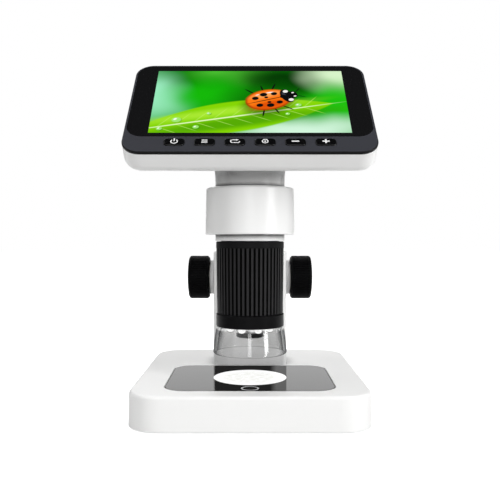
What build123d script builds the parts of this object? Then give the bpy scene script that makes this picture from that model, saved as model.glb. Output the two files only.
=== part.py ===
"""LCD digital microscope: a lit stage, a rack-and-pinion column and a tilted display head.

Millimetres, +X to the user's right, +Y away from the user, +Z up.
The origin is the middle of the footprint, on the surface that the rubber feet stand on.
"""

import os
from math import acos, cos, pi, radians, sin, sqrt, tan

from build123d import *

# ---------------------------------------------------------------- driving dimensions
# base
base_width = 115.6
base_depth = 129.5
base_top = 17.2
base_corner = 16.0
base_wall = 2.2
base_roof = 2.2
base_edge = 1.5
base_draft = 1.0  # degrees
foot_radius = 6.0
foot_height = 1.6
foot_proud = 0.8
foot_inset_x = 17.8  # from the side of the base
foot_inset_y = 10.75
cover_thickness = 2.0
cover_screw_inset_x = 8.8
cover_screw_inset_y = 7.75
ballast_thickness = 3.0
ballast_inset_x = 13.8
ballast_inset_y = 5.75
ballast_corner = 6.0
base_board_width = 44.0
base_board_depth = 22.0
base_board_inset = 0.4
base_board_thickness = 1.6

# stage
stage_width = 82.9
stage_depth = 62.7
stage_corner = 10.5
glass_thickness = 2.0
stage_frame_margin = 2.4
stage_frame_depth = 2.2
diffuser_radius = 21.0
diffuser_thickness = 1.4
diffuser_lip = 0.8
light_board_size = 46.0
light_board_gap = 3.2
touch_offset = 25.7  # from the optical axis to the touch switch, towards the user

# column
column_front = 11.0
column_depth = 28.0
column_half_width = 20.7
column_top = 81.6
column_wall = 2.4
column_corner = 2.5
column_floor = 3.2
back_cover_thickness = 2.4
column_screw_x = 14.5
column_screw_y = (26.0, 34.4)

# rack and pinion
gear_module = 1.0
pinion_teeth = 12
rack_tooth_height = 0.7  # above the pitch line
gear_width = 8.0
backlash = 0.2
shaft_y = 25.0
shaft_z = 66.3
shaft_radius = 3.0
bush_radius = 9.9
bush_flange = 2.3
bush_sleeve_radius = 5.0
washer_thickness = 0.35
knob_radius = 12.5
knob_length = 12.75
knob_grooves = 60

# sliding carriage
plate_half_width = 16.0
plate_front = 14.6
plate_thickness = 3.0
plate_bottom = 31.0
rail_inner = 13.0
rail_back = 20.4
collar_bottom = 90.9
collar_height = 23.8
collar_top_radius = 22.45
collar_bottom_radius = 22.85
collar_bore = 19.2
arm_bottom = 93.0
arm_top = 112.0
arm_half_width = 15.5
arm_back = 21.0

# head: tube, focus ring and hood
axis_y = -22.0
neck_radius = 17.75
neck_wall = 2.6
flare_wall = 2.1
neck_bottom = 87.7
neck_top = 116.0
ring_bottom = 50.8
ring_top = 87.4
ring_band = 3.4
ring_band_radius = 17.45
rib_radius_top = 17.3
rib_radius_bottom = 16.9
rib_count = 48
rib_groove_radius = 0.6
thread_radius = 15.1
lower_ring_bottom = 44.0
lower_ring_top = 50.5
lower_ring_radius = 17.4
hood_bottom = 30.2
hood_bottom_radius = 18.9
hood_top_radius = 17.3
hood_wall = 1.5
hood_tongue_inner = 14.9
hood_tongue_outer = 16.1
hood_tongue = 2.2  # how far the hood plugs up into the lower ring
led_count = 8
led_circle = 10.8
led_radius = 2.15
led_length = 3.0
lens_radius = 7.1
lens_bottom = 38.2
lens_top = 72.0
carrier_bottom = 60.0
carrier_height = 9.0
rod_radius = 1.5
rod_circle = 11.6

# head: display
display_tilt = 45.0
display_width = 118.2
display_height = 74.1
display_depth = 14.0
display_corner = 9.0
display_centre_y = -38.26
display_centre_z = 154.05
bezel_depth = 1.6
shell_inset = 0.15
shell_wall = 1.8
shell_back_fillet = 5.5
glass_rim = 1.15
display_glass_thickness = 1.1
control_strip = 11.65  # below the glass
lcd_margin_side = 7.2
lcd_margin_top = 3.05
lcd_margin_bottom = 1.0  # inside the glass
lcd_thickness = 2.9
button_pitch = 13.9
button_row_height = 7.1  # from the lower edge of the display
button_width = 9.3
button_height = 5.2
button_corner = 1.8
button_proud = 0.4
button_travel = 0.5
board_thickness = 1.2
main_board_inset_side = 6.75
main_board_inset_top = 12.05
main_board_inset_bottom = 2.4  # inside the glass
main_board_post_inset_x = 8.0
main_board_post_inset_y = 5.0
battery_width = 36.0
battery_height = 44.0
battery_thickness = 3.9
battery_x = -22.0
button_board_height = 8.0
button_board_overhang = 8.25

# clearances
slide_gap = 0.1  # between sliding faces
running_gap = 0.07  # radial, for turning fits
seat_gap = 0.15  # around a piece that drops into a pocket
screw_gap = 0.05  # around a screw in its hole

# ---------------------------------------------------------------- derived places
foot_points_x = base_width / 2 - foot_inset_x
foot_points_y = base_depth / 2 - foot_inset_y
cover_bottom = foot_proud
cover_top = cover_bottom + cover_thickness
roof_under = base_top - base_roof
stage_floor = base_top - glass_thickness
stage_frame_under = roof_under - stage_frame_depth
light_board_top = stage_frame_under - light_board_gap
plate_back = plate_front + plate_thickness
pitch_radius = gear_module * pinion_teeth / 2
pitch_line = shaft_y - pitch_radius
knob_inner = column_half_width + bush_flange + washer_thickness + slide_gap
knob_outer = knob_inner + knob_length
collar_top = collar_bottom + collar_height
display_face = Plane(
    origin=(0, display_centre_y, display_centre_z),
    x_dir=(1, 0, 0),
    z_dir=(0, -sin(radians(display_tilt)), cos(radians(display_tilt))),
)
into_display = Axis((0, display_centre_y, display_centre_z), -display_face.z_dir)
display_top = display_height / 2
display_glass_bottom = control_strip - display_top
button_row = button_row_height - display_top
lcd_width = display_width - 2 * lcd_margin_side
lcd_bottom = display_glass_bottom + lcd_margin_bottom
lcd_top = display_top - lcd_margin_top
main_board_width = display_width - 2 * main_board_inset_side
main_board_bottom = display_glass_bottom + main_board_inset_bottom
main_board_top = display_top - main_board_inset_top
button_board_width = 5 * button_pitch + 2 * button_board_overhang
shell_width = display_width - 2 * shell_inset
shell_height = display_height - 2 * shell_inset
main_board_depth = bezel_depth + 4.7
main_board_back = main_board_depth + board_thickness
button_board_depth = bezel_depth + 5.2
shell_inside = display_depth - shell_wall
top_centre = (Align.CENTER, Align.CENTER, Align.MIN)
hang_centre = (Align.CENTER, Align.CENTER, Align.MAX)

os.makedirs("parts", exist_ok=True)


def save(builder, name):
    """Label a finished piece and write its STEP file."""
    builder.part.label = name
    export_step(builder.part, f"parts/{name}.step")


def corners(x, y, centre_y=0.0):
    """The four points at plus and minus x and y around (0, centre_y)."""
    return [(i * x, centre_y + j * y) for i in (-1, 1) for j in (-1, 1)]


def screws(plane, points, shank_radius, shank_length, head_radius, head_height):
    """Cross-recess screws: each head stands on the plane and its shank goes the other way."""
    with Locations(plane):
        with Locations(*points):
            Cylinder(head_radius, head_height, align=top_centre)
            Cylinder(shank_radius, shank_length, align=hang_centre)
            with Locations((0, 0, head_height)):
                Box(head_radius, 0.45, head_height * 0.6, align=hang_centre, mode=Mode.SUBTRACT)
                Box(0.45, head_radius, head_height * 0.6, align=hang_centre, mode=Mode.SUBTRACT)


# ================================================================ base
cover_screw_points = corners(base_width / 2 - cover_screw_inset_x, base_depth / 2 - cover_screw_inset_y)
cover_screw_radius = 1.25
cover_head_radius = 2.6
cover_head_height = 1.1
column_screw_points = [(x, y) for x in (-column_screw_x, column_screw_x) for y in column_screw_y]
column_screw_radius = 1.5
column_screw_length = 10.0
light_board_pins = corners(light_board_size / 2 - 4, light_board_size / 2 - 4, axis_y)
pin_radius = 1.0
base_board_z = 7.4
socket_z = 4.2
base_inner_back = base_depth / 2 - base_wall
base_board_y = base_inner_back - base_board_inset - base_board_depth / 2
base_board_points = [(x, base_board_y - 1.15) for x in (6 - base_board_width / 2, base_board_width / 2 - 6)]

with BuildPart() as base_housing:
    with BuildSketch(Plane.XY.offset(cover_bottom)):
        RectangleRounded(base_width, base_depth, base_corner)
    extrude(amount=base_top - cover_bottom, taper=base_draft)
    fillet(base_housing.edges().group_by(Axis.Z)[-1], base_edge)
    with BuildSketch(Plane.XY.offset(cover_bottom)):
        RectangleRounded(base_width - 2 * base_wall, base_depth - 2 * base_wall, base_corner - base_wall)
    extrude(amount=roof_under - cover_bottom, mode=Mode.SUBTRACT)
    # frame that carries the glass, the diffuser and the light board
    with BuildSketch(Plane.XY.offset(stage_frame_under)):
        with Locations((0, axis_y)):
            RectangleRounded(
                stage_width + 2 * stage_frame_margin,
                stage_depth + 2 * stage_frame_margin,
                stage_corner + stage_frame_margin,
            )
    extrude(amount=stage_frame_depth + 0.5)
    with Locations((0, axis_y, stage_floor)):
        Cylinder(diffuser_radius - diffuser_lip, 2 * base_roof + stage_frame_depth, mode=Mode.SUBTRACT)
        Cylinder(
            diffuser_radius + seat_gap, diffuser_thickness, align=hang_centre, mode=Mode.SUBTRACT
        )
    with BuildSketch(Plane.XY.offset(stage_floor)):
        with Locations((0, axis_y)):
            RectangleRounded(stage_width + 2 * seat_gap, stage_depth + 2 * seat_gap, stage_corner)
    extrude(amount=glass_thickness, mode=Mode.SUBTRACT)
    with Locations(Plane.XY.offset(stage_frame_under + 0.2)):
        with Locations(*light_board_pins):
            Cylinder(2.4, light_board_gap + 0.2, align=hang_centre)
            Cylinder(pin_radius, light_board_gap + 0.2 + 1.6 + 0.6, align=hang_centre)
    # posts for the cover screws and the power board
    with Locations(Plane.XY.offset(cover_top)):
        with Locations(*cover_screw_points):
            Cylinder(3.4, roof_under - cover_top + 0.2, align=top_centre)
            Cylinder(cover_screw_radius + screw_gap, 9.2, align=top_centre, mode=Mode.SUBTRACT)
    with Locations(Plane.XY.offset(base_board_z + base_board_thickness)):
        with Locations(*base_board_points):
            Cylinder(2.6, roof_under - base_board_z - base_board_thickness + 0.2, align=top_centre)
    with Locations(Plane.XY.offset(base_board_z - 0.6)):
        with Locations(*base_board_points):
            Cylinder(pin_radius, 3.0, align=top_centre)
    # holes for the column screws and the power socket
    with Locations(Plane.XY.offset(roof_under - 0.1)):
        with Locations(*column_screw_points):
            Cylinder(column_screw_radius + screw_gap, base_roof + 0.2, align=top_centre, mode=Mode.SUBTRACT)
    with Locations((0, base_depth / 2, socket_z - 0.1)):
        Box(9.3, 2 * base_wall + 0.6, 3.4, align=top_centre, mode=Mode.SUBTRACT)
save(base_housing, "base_housing")

with BuildPart() as base_cover:
    with BuildSketch(Plane.XY.offset(cover_bottom)):
        RectangleRounded(
            base_width - 2 * (base_wall + seat_gap),
            base_depth - 2 * (base_wall + seat_gap),
            base_corner - base_wall - seat_gap,
        )
    extrude(amount=cover_thickness)
    with Locations(Plane.XY.offset(cover_bottom)):
        with Locations(*corners(foot_points_x, foot_points_y)):
            Cylinder(
                foot_radius + screw_gap, foot_height - foot_proud, align=top_centre, mode=Mode.SUBTRACT
            )
        with Locations(*cover_screw_points):
            Cylinder(
                cover_head_radius + seat_gap, cover_head_height + 0.1, align=top_centre, mode=Mode.SUBTRACT
            )
            Cylinder(
                cover_screw_radius + screw_gap, cover_thickness, align=top_centre, mode=Mode.SUBTRACT
            )
save(base_cover, "base_cover")

with BuildPart() as base_screws:
    head_seat = Plane((0, 0, cover_bottom + cover_head_height + 0.1), (1, 0, 0), (0, 0, -1))
    screws(head_seat, cover_screw_points, cover_screw_radius, 9.6, cover_head_radius, cover_head_height)
save(base_screws, "base_screws")

with BuildPart() as rubber_feet:
    with BuildSketch():
        with Locations(*corners(foot_points_x, foot_points_y)):
            Circle(foot_radius)
    extrude(amount=foot_height)
    chamfer(rubber_feet.edges().group_by(Axis.Z)[0], 0.35)
save(rubber_feet, "rubber_feet")

ballast_front = ballast_inset_y - base_depth / 2
ballast_back = column_front + column_depth - 2.0

with BuildPart() as ballast_plate:
    with BuildSketch(Plane.XY.offset(cover_top)):
        with Locations((0, (ballast_front + ballast_back) / 2)):
            RectangleRounded(
                base_width - 2 * ballast_inset_x, ballast_back - ballast_front, ballast_corner
            )
    extrude(amount=ballast_thickness)
save(ballast_plate, "ballast_plate")

with BuildPart() as stage_glass:
    with BuildSketch(Plane.XY.offset(stage_floor)):
        with Locations((0, axis_y)):
            RectangleRounded(stage_width, stage_depth, stage_corner - seat_gap)
    extrude(amount=glass_thickness)
    chamfer(stage_glass.edges().group_by(Axis.Z)[-1], 0.35)
save(stage_glass, "stage_glass")

with BuildPart() as stage_diffuser:
    with Locations((0, axis_y, stage_floor)):
        Cylinder(diffuser_radius, diffuser_thickness, align=hang_centre)
save(stage_diffuser, "stage_diffuser")

with BuildPart() as stage_light_board:
    with BuildSketch(Plane.XY.offset(light_board_top)):
        with Locations((0, axis_y)):
            RectangleRounded(light_board_size, light_board_size, 2)
        with Locations(*light_board_pins):
            Circle(pin_radius + screw_gap, mode=Mode.SUBTRACT)
    extrude(amount=-1.6)
save(stage_light_board, "stage_light_board")

with BuildPart() as stage_leds:
    with BuildSketch(Plane.XY.offset(light_board_top)):
        with Locations((0, axis_y)):
            with GridLocations(10, 10, 3, 3):
                Rectangle(3.5, 2.8)
    extrude(amount=0.9)
save(stage_leds, "stage_leds")

with BuildPart() as touch_board:
    with BuildSketch(Plane.XY.offset(stage_frame_under)):
        with Locations((0, axis_y - touch_offset)):
            RectangleRounded(18, 11, 1)
    extrude(amount=-1.2)
    with Locations((0, axis_y - touch_offset, stage_frame_under - 1.2)):
        with GridLocations(8, 0, 2, 1):
            Box(3.2, 4.0, 1.0, align=hang_centre)
save(touch_board, "touch_board")

with BuildPart() as base_board:
    with BuildSketch(Plane.XY.offset(base_board_z)):
        with Locations((0, base_board_y)):
            Rectangle(base_board_width, base_board_depth)
        with Locations(*base_board_points):
            Circle(pin_radius + screw_gap, mode=Mode.SUBTRACT)
    extrude(amount=base_board_thickness)
    with Locations((0, base_board_y - 6.15, base_board_z + base_board_thickness)):
        with GridLocations(9, 0, 3, 1):
            Box(5, 4, 1.4, align=top_centre)
save(base_board, "base_board")

with BuildPart() as base_usb_socket:
    with Locations((0, base_depth / 2 - 0.6, socket_z)):
        Box(9.0, 7.4, 3.2, align=(Align.CENTER, Align.MAX, Align.MIN))
    with Locations((0, base_depth / 2 - 0.6, socket_z + 1.6)):
        Box(8.4, 12.0, 2.6, mode=Mode.SUBTRACT)
    with Locations((0, base_depth / 2 - 8.0, socket_z)):
        Box(9.0, 1.2, 3.2, align=(Align.CENTER, Align.MIN, Align.MIN))
    with Locations((0, base_depth / 2 - 6.9, socket_z + 1.25)):
        Box(6.4, 5.2, 0.7, align=(Align.CENTER, Align.MIN, Align.MIN))
save(base_usb_socket, "base_usb_socket")

# ================================================================ column
column_back = column_front + column_depth
column_mid_y = column_front + column_depth / 2
column_inside = column_half_width - column_wall
column_inner_front = column_front + column_wall
cover_ledge = column_back - back_cover_thickness
slot_back = rail_back + 0.4
back_screw_z = (30.0, 75.0)
back_screw_points = [(x, z) for x in (-15.2, 15.2) for z in back_screw_z]
back_screw_radius = 1.1
back_post_depth = 7.0

with BuildPart() as column_housing:
    with BuildSketch(Plane.XY.offset(base_top)):
        with Locations((0, column_mid_y)):
            RectangleRounded(2 * column_half_width, column_depth, column_corner)
    extrude(amount=column_top - base_top)
    fillet(column_housing.edges().group_by(Axis.Z)[-1], 1.2)
    with Locations((0, column_inner_front, base_top + column_floor)):
        Box(
            2 * column_inside,
            column_depth,
            column_top - base_top - column_floor - column_wall,
            align=(Align.CENTER, Align.MIN, Align.MIN),
            mode=Mode.SUBTRACT,
        )
    # slot in the top for the rack and its plate
    with Locations((0, column_inner_front, column_top + 1)):
        Box(
            2 * column_inside,
            slot_back - column_inner_front,
            column_wall + 2,
            align=(Align.CENTER, Align.MIN, Align.MAX),
            mode=Mode.SUBTRACT,
        )
    # posts for the back cover screws, in the corners behind the rails
    with Locations(*[(x, cover_ledge, z) for x, z in back_screw_points]):
        Box(
            2 * (column_inside + 0.4 - 15.2), back_post_depth, 7.0,
            align=(Align.CENTER, Align.MAX, Align.CENTER),
        )
    # posts for the screws that come up from the base
    with Locations(Plane.XY.offset(base_top + column_floor - 0.2)):
        with Locations(*column_screw_points):
            Cylinder(3.2, 5.0, align=top_centre)
    with Locations(Plane.XY.offset(base_top)):
        with Locations(*column_screw_points):
            Cylinder(
                column_screw_radius + screw_gap, column_screw_length - base_roof + 0.3,
                align=top_centre, mode=Mode.SUBTRACT,
            )
    with Locations(Plane(origin=(0, cover_ledge, 0), x_dir=(1, 0, 0), z_dir=(0, -1, 0))):
        with Locations(*back_screw_points):
            Cylinder(back_screw_radius + screw_gap, 6.0, align=top_centre, mode=Mode.SUBTRACT)
    with Locations((0, shaft_y, shaft_z)):
        Cylinder(
            bush_sleeve_radius + screw_gap, 2 * column_half_width + 1,
            rotation=(0, 90, 0), mode=Mode.SUBTRACT,
        )
    # open the rear between the side walls
    with Locations((0, cover_ledge, base_top + column_floor)):
        Box(
            2 * column_inside, back_cover_thickness + 1,
            column_top - base_top - column_floor - column_wall,
            align=(Align.CENTER, Align.MIN, Align.MIN), mode=Mode.SUBTRACT,
        )
save(column_housing, "column_housing")

with BuildPart() as column_back_cover:
    with Locations((0, cover_ledge, base_top + column_floor + seat_gap)):
        Box(
            2 * (column_inside - seat_gap),
            back_cover_thickness,
            column_top - base_top - column_floor - column_wall - 2 * seat_gap,
            align=(Align.CENTER, Align.MIN, Align.MIN),
        )
    fillet(column_back_cover.edges().filter_by(Axis.Y), 1.0)
    with Locations(Plane(origin=(0, column_back, 0), x_dir=(1, 0, 0), z_dir=(0, -1, 0))):
        with Locations(*back_screw_points):
            Cylinder(back_screw_radius + screw_gap, back_cover_thickness, align=top_centre, mode=Mode.SUBTRACT)
            Cylinder(2.2, 1.2, align=top_centre, mode=Mode.SUBTRACT)
save(column_back_cover, "column_back_cover")

with BuildPart() as back_cover_screws:
    back_heads = Plane(origin=(0, column_back - 1.2, 0), x_dir=(-1, 0, 0), z_dir=(0, 1, 0))
    screws(back_heads, back_screw_points, back_screw_radius, 6.8, 2.0, 1.1)
save(back_cover_screws, "back_cover_screws")

with BuildPart() as column_screws:
    under_roof = Plane((0, 0, roof_under), (1, 0, 0), (0, 0, -1))
    screws(
        under_roof, [(x, -y) for x, y in column_screw_points],
        column_screw_radius, column_screw_length, 2.8, 1.8,
    )
save(column_screws, "column_screws")

with BuildPart() as guide_rails:
    rail_bottom = base_top + column_floor
    rail_top = column_top - 1.2
    with BuildSketch(Plane.XY.offset(rail_bottom)):
        with Locations(((rail_inner + column_inside) / 2, (column_inner_front + rail_back) / 2)):
            Rectangle(column_inside - rail_inner, rail_back - column_inner_front)
        with Locations((0, (plate_front + plate_back) / 2)):
            Rectangle(
                2 * (plate_half_width + slide_gap), plate_thickness + 2 * slide_gap, mode=Mode.SUBTRACT
            )
        mirror(about=Plane.YZ)
    extrude(amount=rail_top - rail_bottom)
save(guide_rails, "guide_rails")

for side, name in ((-1, "left_shaft_bush"), (1, "right_shaft_bush")):
    with BuildPart(Plane(origin=(0, shaft_y, shaft_z), x_dir=(0, 1, 0), z_dir=(side, 0, 0))) as bush:
        with Locations((0, 0, column_inside)):
            Cylinder(bush_sleeve_radius, column_wall, align=top_centre)
        with Locations((0, 0, column_half_width)):
            Cylinder(bush_radius, bush_flange, align=top_centre)
        chamfer(bush.edges().filter_by(GeomType.CIRCLE).sort_by(SortBy.RADIUS)[-2:], 0.3)
        with Locations((0, 0, column_inside)):
            Cylinder(
                shaft_radius + running_gap, column_wall + bush_flange, align=top_centre, mode=Mode.SUBTRACT
            )
    save(bush, name)

# ================================================================ knobs, shaft and pinion
shaft_line = Plane(origin=(0, shaft_y, shaft_z), x_dir=(0, 1, 0), z_dir=(1, 0, 0))
knob_bore_end = knob_outer - 2.4
knurl_radius = 0.33

with BuildPart(shaft_line) as knob_shaft:
    Cylinder(shaft_radius, 2 * (knob_bore_end - 0.3))
    chamfer(knob_shaft.edges().filter_by(GeomType.CIRCLE), 0.4)
save(knob_shaft, "knob_shaft")

pressure_angle = radians(20)
base_circle = pitch_radius * cos(pressure_angle)
pinion_tip = pitch_radius + 0.8
pinion_root = pitch_radius - 1.35
tooth_half_angle = (pi * gear_module / 2 - backlash) / (2 * pitch_radius)


def involute(angle):
    """The involute of a pressure angle, in radians."""
    return tan(angle) - angle


def flank(radius):
    """Half of a pinion tooth's width at a radius, in the tooth's own frame."""
    half = tooth_half_angle + involute(pressure_angle) - involute(acos(base_circle / radius))
    return (radius * cos(half), radius * sin(half))


with BuildPart(shaft_line) as pinion:
    flank_steps = 5
    tooth_radii = [
        base_circle + (pinion_tip - base_circle) * step / (flank_steps - 1) for step in range(flank_steps)
    ]
    upper = [flank(radius) for radius in tooth_radii]
    root_half = flank(base_circle)[1]
    outline = [(pinion_root - 0.4, root_half)] + upper
    with BuildSketch(shaft_line.offset(-gear_width / 2)):
        Circle(pinion_root)
        # one tooth points at the rack, which is on the user's side of the shaft
        with PolarLocations(0, pinion_teeth, start_angle=180):
            Polygon(*outline, *[(x, -y) for x, y in reversed(outline)], align=None)
        Circle(shaft_radius, mode=Mode.SUBTRACT)
    extrude(amount=gear_width)
save(pinion, "pinion")

with BuildPart() as right_knob:
    knob_plane = Plane(origin=(knob_inner, shaft_y, shaft_z), x_dir=(0, 1, 0), z_dir=(1, 0, 0))
    with BuildSketch(knob_plane):
        Circle(knob_radius)
        with PolarLocations(knob_radius + 0.12, knob_grooves):
            Circle(knurl_radius, mode=Mode.SUBTRACT)
    extrude(amount=knob_length)
    # crowned outer face and rounded edges
    with BuildSketch(Plane(origin=(0, shaft_y, shaft_z), x_dir=(1, 0, 0), z_dir=(0, -1, 0))) as envelope:
        with BuildLine():
            l1 = Line((knob_inner, 0), (knob_inner, knob_radius - 1.1))
            l2 = Line(l1 @ 1, (knob_inner + 1.1, knob_radius))
            l3 = Line(l2 @ 1, (knob_outer - 2.2, knob_radius))
            l4 = ThreePointArc(
                l3 @ 1, (knob_outer - 1.3, knob_radius - 0.45), (knob_outer - 0.8, knob_radius - 1.5)
            )
            l5 = ThreePointArc(l4 @ 1, (knob_outer - 0.2, knob_radius / 2), (knob_outer, 0))
            Line(l5 @ 1, l1 @ 0)
        make_face()
    revolve(axis=Axis((0, shaft_y, shaft_z), (1, 0, 0)), mode=Mode.INTERSECT)
    with Locations(knob_plane):
        Cylinder(
            shaft_radius + screw_gap, knob_bore_end - knob_inner, align=top_centre, mode=Mode.SUBTRACT
        )
    # threaded hole for the set screw, from the rim down to the shaft
    with Locations((knob_inner + 5.0, shaft_y, shaft_z)):
        Cylinder(1.25 + screw_gap, knob_radius + 1, align=top_centre, mode=Mode.SUBTRACT)
save(right_knob, "right_knob")

with BuildPart() as left_knob:
    mirror(right_knob.part, about=Plane.YZ)
save(left_knob, "left_knob")

with BuildPart() as knob_set_screws:
    with Locations((0, shaft_y, shaft_z + shaft_radius)):
        with GridLocations(2 * (knob_inner + 5.0), 0, 2, 1):
            Cylinder(1.25, 5.0, align=top_centre)
            with Locations((0, 0, 5.0)):
                Cylinder(0.65, 1.4, align=hang_centre, mode=Mode.SUBTRACT)
save(knob_set_screws, "knob_set_screws")

with BuildPart() as knob_washers:
    with BuildSketch(Plane(origin=(knob_inner - washer_thickness, shaft_y, shaft_z), z_dir=(1, 0, 0))):
        Circle(7.5)
        Circle(shaft_radius + screw_gap, mode=Mode.SUBTRACT)
    extrude(amount=washer_thickness)
    mirror(about=Plane.YZ)
save(knob_washers, "knob_washers")

# ================================================================ carriage
rack_half_width = gear_width / 2
rack_recess = 1.2
rack_front = plate_back - rack_recess
rack_bottom = plate_bottom + 0.5
rack_top = 85.5
tooth_pitch = pi * gear_module
tooth_root = pitch_line - 1.05
tooth_tip = pitch_line + rack_tooth_height
plate_neck = 11.0
arm_screw_points = [(-6.5, 101.0), (6.5, 101.0)]
arm_screw_radius = 1.5

with BuildPart() as collar_arm:
    with BuildSketch(Plane.XY.offset(arm_bottom)):
        with Locations((0, (axis_y + arm_back) / 2)):
            RectangleRounded(2 * arm_half_width, arm_back - axis_y, 4.0)
    extrude(amount=arm_top - arm_bottom)
    fillet(collar_arm.edges().group_by(Axis.Z)[-1], 2.0)
    with Locations((0, axis_y, collar_bottom)):
        Cone(collar_bottom_radius, collar_top_radius, collar_height, align=top_centre)
    rims = collar_arm.edges().filter_by(GeomType.CIRCLE).filter_by(
        lambda e: e.radius > collar_top_radius - 0.1
    )
    fillet(rims.group_by(Axis.Z)[-1], 1.4)
    fillet(rims.group_by(Axis.Z)[0], 0.6)
    with Locations((0, axis_y, collar_bottom - 1)):
        Cylinder(collar_bore, collar_height + 2, align=top_centre, mode=Mode.SUBTRACT)
    # slot for the top of the slide plate
    with Locations((0, plate_front - screw_gap, arm_bottom - 1)):
        Box(
            2 * (plate_neck + screw_gap), plate_thickness + 2 * screw_gap, 16.2,
            align=(Align.CENTER, Align.MIN, Align.MIN), mode=Mode.SUBTRACT,
        )
    with Locations(Plane(origin=(0, arm_back, 0), x_dir=(1, 0, 0), z_dir=(0, -1, 0))):
        with Locations(*arm_screw_points):
            Cylinder(arm_screw_radius + screw_gap, 12.2, align=top_centre, mode=Mode.SUBTRACT)
            Cylinder(3.0, 2.0, align=top_centre, mode=Mode.SUBTRACT)
save(collar_arm, "collar_arm")

with BuildPart() as collar_liner:
    with BuildSketch(Plane.XY.offset(collar_bottom + 0.6)):
        with Locations((0, axis_y)):
            Circle(collar_bore - screw_gap)
            Circle(neck_radius + running_gap, mode=Mode.SUBTRACT)
    extrude(amount=collar_height - 1.4)
save(collar_liner, "collar_liner")

with BuildPart() as slide_plate:
    with BuildSketch(Plane.XZ.offset(-plate_back)):
        with Locations((0, plate_bottom)):
            Rectangle(2 * plate_half_width, arm_bottom - 1.5 - plate_bottom, align=(Align.CENTER, Align.MIN))
            Rectangle(2 * plate_neck, arm_bottom + 15.0 - plate_bottom, align=(Align.CENTER, Align.MIN))
        with Locations(*arm_screw_points):
            Circle(arm_screw_radius + screw_gap, mode=Mode.SUBTRACT)
    extrude(amount=plate_thickness)
    with Locations((0, plate_back, rack_bottom)):
        Box(
            2 * (rack_half_width + screw_gap), rack_recess, rack_top - rack_bottom + screw_gap,
            align=(Align.CENTER, Align.MAX, Align.MIN), mode=Mode.SUBTRACT,
        )
save(slide_plate, "slide_plate")

with BuildPart() as rack:
    with BuildSketch(Plane.YZ.offset(-rack_half_width)):
        with Locations((rack_front, rack_bottom)):
            Rectangle(tooth_root - rack_front, rack_top - rack_bottom, align=(Align.MIN, Align.MIN))
        # the pinion's tooth sits in the space at the shaft's height
        first = int((rack_bottom + 1.5 - shaft_z) // tooth_pitch)
        last = int((rack_top - 1.2 - shaft_z) // tooth_pitch)
        tip_half = tooth_pitch / 4 - rack_tooth_height * tan(pressure_angle)
        root_half = tooth_pitch / 4 + (pitch_line - tooth_root) * tan(pressure_angle)
        for step in range(first + 1, last):
            middle = shaft_z + tooth_pitch * (step + 0.5)
            Polygon(
                (tooth_root - 0.3, middle - root_half),
                (tooth_root, middle - root_half),
                (tooth_tip, middle - tip_half),
                (tooth_tip, middle + tip_half),
                (tooth_root, middle + root_half),
                (tooth_root - 0.3, middle + root_half),
                align=None,
            )
    extrude(amount=gear_width)
save(rack, "rack")

with BuildPart() as arm_screws:
    arm_heads = Plane(origin=(0, arm_back - 2.0, 0), x_dir=(-1, 0, 0), z_dir=(0, 1, 0))
    screws(arm_heads, arm_screw_points, arm_screw_radius, 9.6, 2.8, 1.6)
save(arm_screws, "arm_screws")

# ================================================================ head: rear housing
spigot_bottom = 80.0
spigot_radius = thread_radius - running_gap
spigot_bore = 13.2
web_thickness = 3.0
lens_hole = lens_radius + 0.9
rod_points = [(0, 0)]
rod_angles = (90, 210, 330)
rod_places = [
    (rod_circle * cos(radians(a)), axis_y + rod_circle * sin(radians(a))) for a in rod_angles
]
board_post_x = main_board_width / 2 - main_board_post_inset_x
board_post_y = (main_board_bottom + main_board_post_inset_y, main_board_top - main_board_post_inset_y)
board_posts = [(x, y) for x in (-board_post_x, board_post_x) for y in board_post_y]
button_posts = [(x, button_row) for x in (5 - button_board_width / 2, button_board_width / 2 - 5)]
head_screw_points = [
    (side * (display_width / 2 - inset_x), y)
    for inset_x, y in ((8.75, 6.55 - display_top), (4.75, display_top - 8.05))
    for side in (-1, 1)
]
head_screw_radius = 0.9
head_screw_seat = display_depth - 3.4
port_row = 8.0

# front point, rear point and half-width of each level of the flare, in the plane X = 0
inside_shell = display_centre_z - display_centre_y - (display_depth - 5.1) / cos(radians(display_tilt))
flare_levels = [
    ((axis_y - neck_radius, neck_top), (axis_y + neck_radius, neck_top), neck_radius),
    ((-40.1, 118.4), (-4.25, 127.0), 18.05),
    ((-41.6, 121.0), (-4.2, 140.0), 19.6),
    ((-44.5, 123.2), (-4.2, 153.5), 22.9),
    ((-52.5, -52.5 + inside_shell), (-6.8, -6.8 + inside_shell), 28.5),
]


def flare_plane(front, rear):
    """The plane through a level's front and rear points, and half the distance between them."""
    run = rear[0] - front[0]
    rise = rear[1] - front[1]
    length = sqrt(run * run + rise * rise)
    middle = (0, (front[0] + rear[0]) / 2, (front[1] + rear[1]) / 2)
    return Plane(origin=middle, x_dir=(1, 0, 0), z_dir=(0, -rise / length, run / length)), length / 2


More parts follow.
